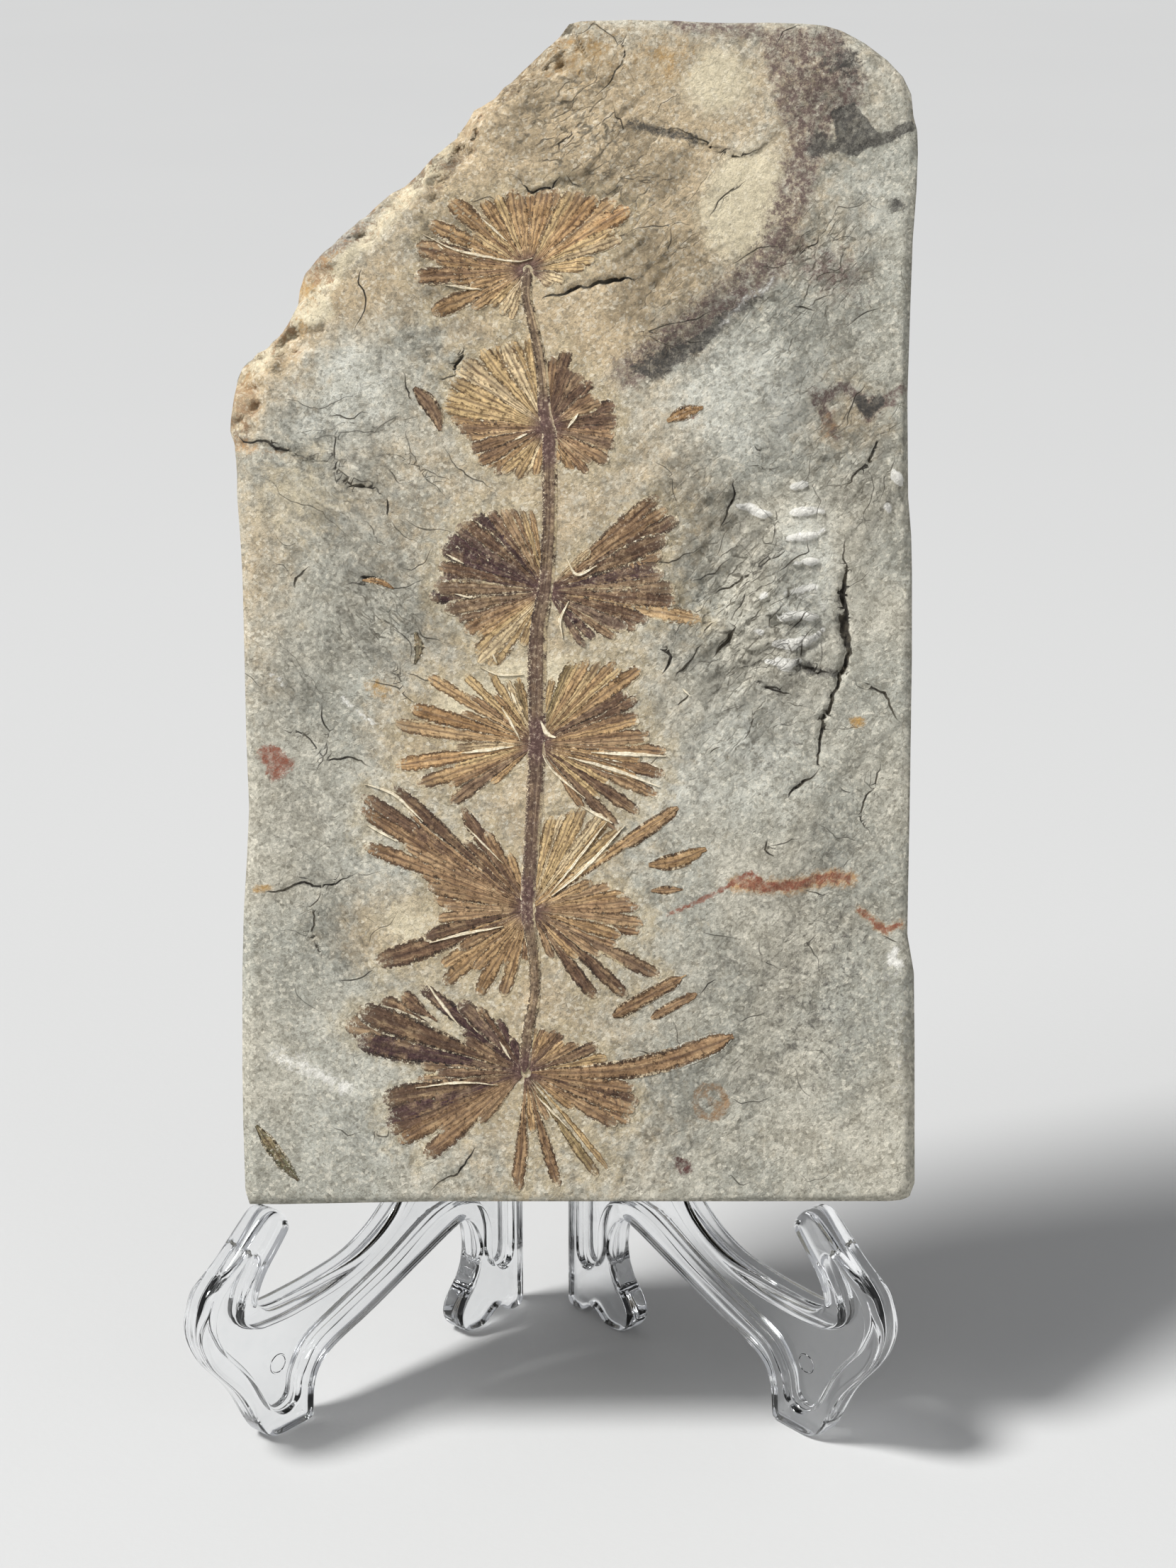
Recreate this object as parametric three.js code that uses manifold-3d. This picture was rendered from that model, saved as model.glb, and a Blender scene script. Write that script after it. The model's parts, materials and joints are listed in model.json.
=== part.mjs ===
// A fossil plant plate on a clear folding stand.
//
// The plate is a flat slab of siltstone, sawn at its foot and sides and broken at its upper
// left, with a flattened plant pressed on its front. It stands on the hook tips of a stand
// moulded in clear plastic and leans back on the stand's hinge. The stand is two mirrored
// halves that fold together round an upright hinge.
//
// Millimetres, +Z up. The front of the slab faces -Y.

import * as THREE from "three";
import { mergeVertices } from "three/addons/utils/BufferGeometryUtils.js";
import Module from "manifold-3d";

const { degToRad } = THREE.MathUtils;
const wasm = await Module();
wasm.setup();

// ---- Driving dimensions -------------------------------------------------------------------

const SLAB_THICKNESS = 10;
const SLAB_CHAMFER = 1.2; // taken off the slab's sharp edges, front and back
const SLAB_LEAN = degToRad(19); // back from upright
const SLAB_FOOT_Y = -41; // lower front edge of the slab, from the hinge axis
const SLAB_FOOT_Z = 36.9; // the same edge, from the table
const SLAB_SIDE_SHIFT = 5.4; // the slab sits this far to the right of the hinge axis

const HALF_ANGLE = degToRad(42); // from straight ahead to each half of the stand
const HALF_CLEARANCE = 0.2; // from the hinge plane to each half, so that they fold flat
const RIM_WIDTH = 4.2; // of the flange that runs all round a half
const WEB_THICKNESS = 1.6; // of the thin wall inside the flange
const POST_EDGE = 4.2; // from the hinge axis to the post

const KNUCKLE_RADIUS = 3.4;
const KNUCKLE_REACH = 6.6; // how far an ear runs from the axis into the post
const EAR_THICKNESS = 2.8;
const BORE_RADIUS = 1.9;
const PEG_RADIUS = 1.6;
const PEG_LENGTH = 8;
const KNUCKLE_GAP = 0.4; // between a left knuckle and the right one under it
const LOWER_SPLIT = 52; // top of the lower right knuckle
const UPPER_SPLIT = 95.6; // top of the upper right knuckle
const KNUCKLE_HEIGHT = 9.6;
const EAR_TOP = 103; // top of the ear that holds the upper left knuckle
const HINGE_TOP = 113.7; // the upper left knuckle ends here, against the slab's back

const ROUND_SIDES = 24;
const CURVE_STEPS = 2; // straight steps for each point of a curved stretch

// ---- Outlines -----------------------------------------------------------------------------

// The slab's front, with X from its middle line and Y up from its foot.
const SLAB_OUTLINE = [
  // foot and left side, sawn
  [-39, -0.4], [-44.3, -0.4], [-45.1, 10.8], [-45.2, 31], [-44.4, 52], [-45, 76],
  // upper left, broken along the bedding
  [-45.9, 93.8], [-47.1, 103], [-46.5, 109.1], [-43.9, 113], [-40.9, 115.2], [-38.2, 119.2],
  [-37.3, 124.2], [-32.9, 128.5], [-27.5, 133.4], [-21.1, 138.4], [-15.4, 144.2],
  [-11.7, 147.4], [-5.3, 153.9], [-1.6, 157.3],
  // top and its rounded right corner
  [11, 157.5], [24.7, 157.1], [32.4, 156.7], [37.8, 154.4], [42.9, 149.9], [44.9, 141],
  // right side and foot, sawn
  [43.9, 119.6], [43.5, 107.3], [44.1, 84.4], [43.8, 52.4], [43.5, 35.5], [44.4, 30.4],
  [44.5, 2.4], [43.8, 0.4], [42, 0], [-18.7, 0],
];

// Half of the stand, seen square on: the first number runs out from the hinge axis, the
// second up from the table. Each stretch is a smooth curve through its points.
const HALF_OUTLINE = {
  start: [POST_EDGE, 1.2],
  heel: [[4.5, 0.3], [5.2, 0]],
  heelPad: [[7.3, 0]],
  cleft: [[8.3, 1.3], [9.4, 1.9], [10.7, 1.3], [12.4, 0]],
  toePad: [[15.6, 0]],
  toe: [[17.6, 1.5], [18.3, 3.7], [17.2, 6], [15.2, 8.4], [14.1, 12], [14.4, 16]],
  arch: [[15.4, 18.2], [17.2, 18.7], [25.2, 15.8], [35, 12], [41.5, 9.9]],
  instep: [[44.8, 8.2], [46.4, 5.4], [46.9, 0]],
  footPad: [[53.8, 0]],
  belly: [[56.3, 1.8], [60.1, 9.3], [64.9, 15.7], [66.8, 21.2], [65.3, 26.3]],
  hook: [[60.8, 29.2], [56.4, 33], [53.9, 34.7], [51.2, 33.6], [49.8, 31]],
  hookInside: [[51.9, 28.6], [54.6, 25.6], [56.2, 22.4], [55.6, 20.8], [52.6, 20.4]],
  armTop: [[44.7, 20.7], [37, 21.9], [30.3, 25.8], [26, 32]],
  postFront: [[23.4, 42], [19.6, 58], [15, 74], [10.4, 89], [6.9, 99.5]],
  postTop: [[5.8, 102.2], [POST_EDGE, 103]],
};

// The recess on each side of the web, drawn the same way.
const RECESS_OUTLINE = {
  start: [6.9, 10],
  postBack: [[6.9, 76]],
  recessTop: [[7.6, 78.4], [9.4, 79.6], [10.9, 78]],
  postFront: [[12.3, 73.6], [16.8, 58], [20.5, 42], [22.6, 33]],
  armTop: [[26.6, 25.6], [33.4, 20.7], [40.6, 18.4], [50, 17.5], [56.4, 17.8]],
  hookInside: [[59.3, 20], [58.8, 23.8], [57, 26.6], [55.7, 28.6]],
  hook: [[56.7, 29.7], [59.5, 27.7], [62.6, 25], [63.8, 21.2], [62.2, 16.8]],
  foot: [[57.6, 10.8], [54.4, 4.6], [52.2, 3.2], [49.9, 4.2], [49.4, 7.4]],
  armUnder: [[46.4, 11.4], [40.6, 13.8], [31, 17.3], [22.6, 21.2], [17.6, 22.2]],
  arch: [[13.2, 20.4], [11.2, 16], [11, 11], [9.4, 8.2], [7.6, 8.2]],
};

// ---- Shapes and solids --------------------------------------------------------------------

const toVector = ([x, y]) => new THREE.Vector2(x, y);

function smoothShape({ start, ...stretches }) {
  const shape = new THREE.Shape().moveTo(...start);
  for (const points of Object.values(stretches)) {
    if (points.length > 1) shape.splineThru(points.map(toVector));
    else shape.lineTo(...points[0]);
  }
  return shape.closePath();
}

function plate(shape, from, to) {
  const geometry = new THREE.ExtrudeGeometry(shape, {
    depth: to - from,
    bevelEnabled: false,
    curveSegments: CURVE_STEPS,
  });
  return geometry.translate(0, 0, from);
}

function barrel(radius, bottom, top) {
  const geometry = new THREE.CylinderGeometry(radius, radius, top - bottom, ROUND_SIDES);
  return geometry.translate(0, (bottom + top) / 2, 0);
}

function ear(side, bottom, top) {
  const thickness = EAR_THICKNESS - HALF_CLEARANCE;
  const geometry = new THREE.BoxGeometry(KNUCKLE_REACH, top - bottom, thickness);
  const middle = side * (HALF_CLEARANCE + thickness / 2);
  return geometry.translate(KNUCKLE_REACH / 2, (bottom + top) / 2, middle);
}

function toSolid(geometry) {
  const bare = geometry.clone();
  bare.deleteAttribute("normal");
  bare.deleteAttribute("uv");
  const merged = mergeVertices(bare);
  const vertProperties = new Float32Array(merged.attributes.position.array);
  const triVerts = new Uint32Array(merged.index.array);
  return new wasm.Manifold(new wasm.Mesh({ numProp: 3, vertProperties, triVerts }));
}

function toGeometry(solid) {
  const { vertProperties, triVerts } = solid.getMesh();
  const geometry = new THREE.BufferGeometry();
  geometry.setAttribute("position", new THREE.BufferAttribute(vertProperties, 3));
  geometry.setIndex(new THREE.BufferAttribute(triVerts, 1));
  geometry.computeVertexNormals();
  return geometry;
}

// ---- Materials ----------------------------------------------------------------------------

const siltstone = new THREE.MeshStandardMaterial({
  color: 0xa9a795,
  roughness: 0.85,
  metalness: 0,
});
const clearPlastic = new THREE.MeshStandardMaterial({
  color: 0xe4e6ea,
  roughness: 0.08,
  metalness: 0,
  transparent: true,
  opacity: 0.35,
});

// ---- The slab -----------------------------------------------------------------------------

function makeSlab() {
  const geometry = new THREE.ExtrudeGeometry(new THREE.Shape(SLAB_OUTLINE.map(toVector)), {
    depth: SLAB_THICKNESS - 2 * SLAB_CHAMFER,
    bevelEnabled: true,
    bevelSegments: 1,
    bevelThickness: SLAB_CHAMFER,
    bevelSize: SLAB_CHAMFER,
    bevelOffset: -SLAB_CHAMFER,
  });
  // stand it up, with its front face on Y = 0 and its thickness behind
  geometry.rotateX(Math.PI / 2).translate(0, SLAB_THICKNESS - SLAB_CHAMFER, 0);
  const slab = new THREE.Mesh(geometry, siltstone);
  slab.name = "slab";
  slab.position.set(SLAB_SIDE_SHIFT, SLAB_FOOT_Y, SLAB_FOOT_Z);
  slab.rotation.x = -SLAB_LEAN;
  return slab;
}

// ---- The stand ----------------------------------------------------------------------------

// A half lies on +Z of its drawing plane for side 1, on -Z for side -1.
function flangedPlate(side) {
  const inner = HALF_CLEARANCE;
  const outer = HALF_CLEARANCE + RIM_WIDTH;
  const recessDepth = (RIM_WIDTH - WEB_THICKNESS) / 2;
  const past = 1; // the cutters run past both faces
  const span = (a, b) => (side > 0 ? [a, b] : [-b, -a]);

  const recess = smoothShape(RECESS_OUTLINE);
  return toSolid(plate(smoothShape(HALF_OUTLINE), ...span(inner, outer)))
    .subtract(toSolid(plate(recess, ...span(inner - past, inner + recessDepth))))
    .subtract(toSolid(plate(recess, ...span(outer - recessDepth, outer + past))));
}

// The left half carries the pegs, each under the knuckle that it hangs from.
function leftHalf() {
  let half = flangedPlate(1);
  const knuckles = [
    { bottom: LOWER_SPLIT, top: LOWER_SPLIT + KNUCKLE_HEIGHT, earTop: LOWER_SPLIT + KNUCKLE_HEIGHT },
    { bottom: UPPER_SPLIT, top: HINGE_TOP, earTop: EAR_TOP },
  ];
  for (const { bottom, top, earTop } of knuckles) {
    const seat = bottom + KNUCKLE_GAP;
    half = half
      .add(toSolid(barrel(KNUCKLE_RADIUS, seat, top)))
      .add(toSolid(ear(1, seat, earTop)))
      .add(toSolid(barrel(PEG_RADIUS, seat - PEG_LENGTH, seat + 1)));
  }
  return half;
}

// The right half carries the bored knuckles that turn on the pegs.
function rightHalf() {
  let half = flangedPlate(-1);
  for (const top of [LOWER_SPLIT, UPPER_SPLIT]) {
    const bottom = top - KNUCKLE_HEIGHT;
    half = half
      .add(toSolid(barrel(KNUCKLE_RADIUS, bottom, top)))
      .add(toSolid(ear(-1, bottom, top)))
      .subtract(toSolid(barrel(BORE_RADIUS, bottom - 1, top + 1)));
  }
  return half;
}

function makeHalf(name, solid, turn) {
  const geometry = toGeometry(solid).rotateX(Math.PI / 2);
  const half = new THREE.Mesh(geometry, clearPlastic);
  half.name = name;
  half.rotation.z = turn - Math.PI / 2;
  return half;
}

// ---- The whole object ---------------------------------------------------------------------

const fossilPlate = new THREE.Group();
fossilPlate.add(
  makeHalf("stand_left", leftHalf(), -HALF_ANGLE),
  makeHalf("stand_right", rightHalf(), HALF_ANGLE),
  makeSlab(),
);

// The origin is under the middle of the whole object, on the table.
fossilPlate.updateMatrixWorld(true);
const bounds = new THREE.Box3().setFromObject(fossilPlate, true);
const middle = bounds.getCenter(new THREE.Vector3());
fossilPlate.position.set(-middle.x, -middle.y, -bounds.min.z);

export default fossilPlate;
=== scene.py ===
"""A fossil plant plate on a clear folding stand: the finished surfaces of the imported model.

A slab of siltstone carries a flattened horsetail with six whorls of leaves. It leans on a
stand of two clear plastic halves. Lengths are in millimetres until a mesh is placed.
"""

import json
import math

import bmesh
import bpy
import numpy as np
from mathutils import Matrix, Vector
from mathutils.geometry import tessellate_polygon


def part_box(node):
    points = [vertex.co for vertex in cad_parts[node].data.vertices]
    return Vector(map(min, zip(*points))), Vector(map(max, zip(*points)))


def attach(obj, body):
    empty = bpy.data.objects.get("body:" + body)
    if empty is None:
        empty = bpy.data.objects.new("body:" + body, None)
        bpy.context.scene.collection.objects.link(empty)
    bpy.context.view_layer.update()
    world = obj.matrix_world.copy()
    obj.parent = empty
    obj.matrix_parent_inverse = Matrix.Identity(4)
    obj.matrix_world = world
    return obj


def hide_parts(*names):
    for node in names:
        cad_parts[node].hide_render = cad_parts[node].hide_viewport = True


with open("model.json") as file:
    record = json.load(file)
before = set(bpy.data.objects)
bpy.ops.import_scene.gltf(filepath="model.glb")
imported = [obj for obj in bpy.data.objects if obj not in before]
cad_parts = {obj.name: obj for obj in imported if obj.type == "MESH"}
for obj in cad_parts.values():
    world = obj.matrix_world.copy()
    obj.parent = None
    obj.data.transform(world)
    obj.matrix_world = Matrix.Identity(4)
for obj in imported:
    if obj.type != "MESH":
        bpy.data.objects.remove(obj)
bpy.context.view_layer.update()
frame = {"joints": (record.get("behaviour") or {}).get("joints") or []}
MM = 0.001

# ---- The plate ------------------------------------------------------------------------------
# One slab of grey-green siltstone, 92 mm wide and 10 mm thick. Its foot and sides are sawn
# and their edges rubbed down, its upper left is broken, and its front is a split bedding
# surface: low steps, crinkles and cracks, stained by iron round the plant.

PLATE_THICKNESS = 10.0
PLATE_LEAN = math.radians(19)
PLATE_TOP = 157.5  # above the foot edge, up the face
PLATE_RIGHT = 44.9  # of its middle line
CAD_CHAMFER = 1.2
FOOT_BEHIND_CHAMFER = 0.4

plate_low, plate_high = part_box("slab")
LEAN_SIN = math.sin(PLATE_LEAN)
LEAN_COS = math.cos(PLATE_LEAN)
ACROSS = np.array((1.0, 0.0, 0.0))
UPHILL = np.array((0.0, LEAN_SIN, LEAN_COS))
OUTWARD = np.array((0.0, -LEAN_COS, LEAN_SIN))
FOOT_EDGE = np.array((
    plate_high.x - PLATE_RIGHT * MM,
    plate_low.y - (CAD_CHAMFER - FOOT_BEHIND_CHAMFER) * LEAN_SIN * MM,
    plate_high.z - (PLATE_TOP * LEAN_COS - CAD_CHAMFER * LEAN_SIN) * MM,
))


def on_plate(x, y, proud=0.0):
    """Places of the shared frame, in metres, from places on the plate's face in millimetres."""
    x, y, proud = np.broadcast_arrays(x, y, proud)
    return FOOT_EDGE + MM * (
        x[..., None] * ACROSS + y[..., None] * UPHILL + proud[..., None] * OUTWARD
    )


# The plate's outline in runs, each with the width and depth of its edge and its roughness.
EDGE_RUNS = [
    # sawn left side, rubbed to a narrow flat
    (1.7, 0.9, 0.05, [
        (-44.2, -0.4), (-44.8, 1.4), (-45.1, 10.8), (-45.2, 17.6), (-45.2, 31), (-45, 38.8),
        (-44.6, 45.6), (-44.3, 52.3), (-44.7, 62.4), (-45, 75.9), (-45.2, 83.7), (-45.5, 88.8),
        (-45.9, 93.8), (-46, 97.2),
    ]),
    # broken upper left
    (4.6, 3.4, 0.55, [
        (-46.5, 101.2), (-47.1, 102.8), (-46.9, 104.6), (-46.6, 106.6), (-46.4, 109.1),
        (-45.7, 111.4), (-43.9, 113), (-40.9, 115.2), (-39.3, 117.1), (-38.2, 119.2),
        (-37.9, 121.9), (-37.2, 124.2), (-34.9, 126.6), (-32.9, 128.5), (-30.2, 130.7),
        (-27.5, 133.4), (-25.5, 135.1), (-23.8, 135.9), (-21.1, 138.4), (-17.7, 141.3),
        (-15.4, 144.2), (-14.4, 146), (-11.7, 147.4), (-10, 149.2), (-8, 151.4),
        (-5.3, 153.9), (-2.9, 156.1), (-1.6, 157.3),
    ]),
    # top and its worn corner
    (1.3, 0.8, 0.14, [
        (-0.2, 157.5), (6.1, 157.5), (11.2, 157.4), (17.9, 157.1), (24.7, 157.1),
        (29.7, 157), (32.4, 156.7), (34.8, 156), (37.8, 154.4), (40.8, 152.1),
        (42.9, 149.9), (44, 147.6), (44.3, 144.6),
    ]),
    # sawn right side
    (1.2, 0.8, 0.05, [
        (44.8, 142.8), (44.9, 139.8), (44.7, 134.7), (44.2, 128), (43.9, 119.6),
        (43.5, 107.3), (43.6, 93.8), (44, 88.8), (44.1, 84.4), (44.1, 72.6), (43.8, 52.4),
        (43.6, 42.2), (43.5, 35.5),
    ]),
    (2.0, 1.2, 0.05, [
        (44.4, 30.4), (44.5, 20.9), (44.5, 10.8), (44.5, 2.4), (43.8, 0.5), (42.6, 0.1),
    ]),
    # sawn foot
    (0.8, 0.5, 0.04, [(41, 0), (20, 0), (0, 0), (-18.7, 0), (-30, -0.2), (-40, -0.4)]),
]
FRONT_CELLS_ACROSS = 192
FRONT_CELLS_UP = 320
BACK_SHARE = 2  # one cell of the back spans this many of the front's
SIDE_RINGS = 11
FOOT_LEFT, TOP_LEFT, TOP_RIGHT, FOOT_RIGHT = 0, 41, 53, 73  # outline points at its corners

outline = np.array([point for run in EDGE_RUNS for point in run[3]])
edge_form = np.array([run[:3] for run in EDGE_RUNS for _ in run[3]])
edge_form = (np.roll(edge_form, 1, 0) + 2 * edge_form + np.roll(edge_form, -1, 0)) / 4

LATTICE = 128  # cells before a pattern repeats
PATTERN_START = 40.0


def patches(x, y, size, seed):
    """Smooth uneven values from -1 to 1, in patches about size across."""
    lattice = np.random.default_rng(seed).uniform(-1, 1, (LATTICE, LATTICE))
    turn = seed * 0.77
    u = (x * math.cos(turn) - y * math.sin(turn)) / size + PATTERN_START
    v = (x * math.sin(turn) + y * math.cos(turn)) / size + PATTERN_START
    i, j = np.floor(u).astype(int), np.floor(v).astype(int)
    s, t = u - i, v - j
    s, t = s * s * (3 - 2 * s), t * t * (3 - 2 * t)
    corners = [lattice[(i + a) % LATTICE, (j + b) % LATTICE] for a in (0, 1) for b in (0, 1)]
    near = corners[0] * (1 - t) + corners[1] * t
    far = corners[2] * (1 - t) + corners[3] * t
    return near * (1 - s) + far * s


def shards(x, y, size, seed):
    """A height from -1 to 1 for each angular flake, about size across."""
    jitter = np.random.default_rng(seed).random((LATTICE, LATTICE, 3))
    u, v = x / size + PATTERN_START, y / size + PATTERN_START
    i, j = np.floor(u).astype(int), np.floor(v).astype(int)
    nearest = np.full(x.shape, 9.0)
    height = np.zeros(x.shape)
    for a in (-1, 0, 1):
        for b in (-1, 0, 1):
            cell = jitter[(i + a) % LATTICE, (j + b) % LATTICE]
            away = np.hypot(i + a + cell[..., 0] - u, j + b + cell[..., 1] - v)
            nearer = away < nearest
            nearest[nearer] = away[nearer]
            height[nearer] = cell[..., 2][nearer] * 2 - 1
    return height


def rise(low, high, value):
    """0 below low, 1 above high, and smooth between."""
    t = np.clip((value - low) / (high - low), 0, 1)
    return t * t * (3 - 2 * t)


def evenly_along(points, count):
    """Evenly spaced points along a line."""
    points = np.asarray(points, float)
    length = np.concatenate([[0], np.cumsum(np.hypot(*np.diff(points, axis=0).T))])
    at = np.linspace(0, length[-1], count)
    return np.stack([np.interp(at, length, points[:, k]) for k in (0, 1)], -1)


def from_line(x, y, line):
    """Signed distance to a line of points, and how far along it the nearest place is."""
    best = np.full(x.shape, 1e9)
    side = np.zeros(x.shape)
    place = np.zeros(x.shape)
    for k, (a, b) in enumerate(zip(line[:-1], line[1:])):
        run = b - a
        t = ((x - a[0]) * run[0] + (y - a[1]) * run[1]) / max(run @ run, 1e-9)
        t = np.clip(t, 0, 1)
        dx, dy = x - a[0] - t * run[0], y - a[1] - t * run[1]
        away = np.hypot(dx, dy)
        nearer = away < best
        best[nearer] = away[nearer]
        side[nearer] = np.sign(run[0] * dy - run[1] * dx)[nearer]
        place[nearer] = (k + t)[nearer]
    return best, side, place


def patch_grid(foot, top, left, right):
    """A grid of places stretched between four sides that share their corners."""
    u = np.linspace(0, 1, len(foot))[None, :, None]
    v = np.linspace(0, 1, len(left))[:, None, None]
    sides = (1 - v) * foot[None] + v * top[None] + (1 - u) * left[:, None] + u * right[:, None]
    corners = (1 - v) * ((1 - u) * foot[0] + u * foot[-1]) + v * ((1 - u) * top[0] + u * top[-1])
    return sides - corners


closed = np.vstack([outline, outline[:1]])
left_side = evenly_along(outline[FOOT_LEFT:TOP_LEFT + 1], FRONT_CELLS_UP + 1)
top_side = evenly_along(outline[TOP_LEFT:TOP_RIGHT + 1], FRONT_CELLS_ACROSS + 1)
right_side = evenly_along(outline[TOP_RIGHT:FOOT_RIGHT + 1], FRONT_CELLS_UP + 1)
foot_side = evenly_along(closed[FOOT_RIGHT:], FRONT_CELLS_ACROSS + 1)
face = patch_grid(foot_side[::-1], top_side, left_side, right_side[::-1])
face_x, face_y = face[..., 0], face[..., 1]

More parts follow.
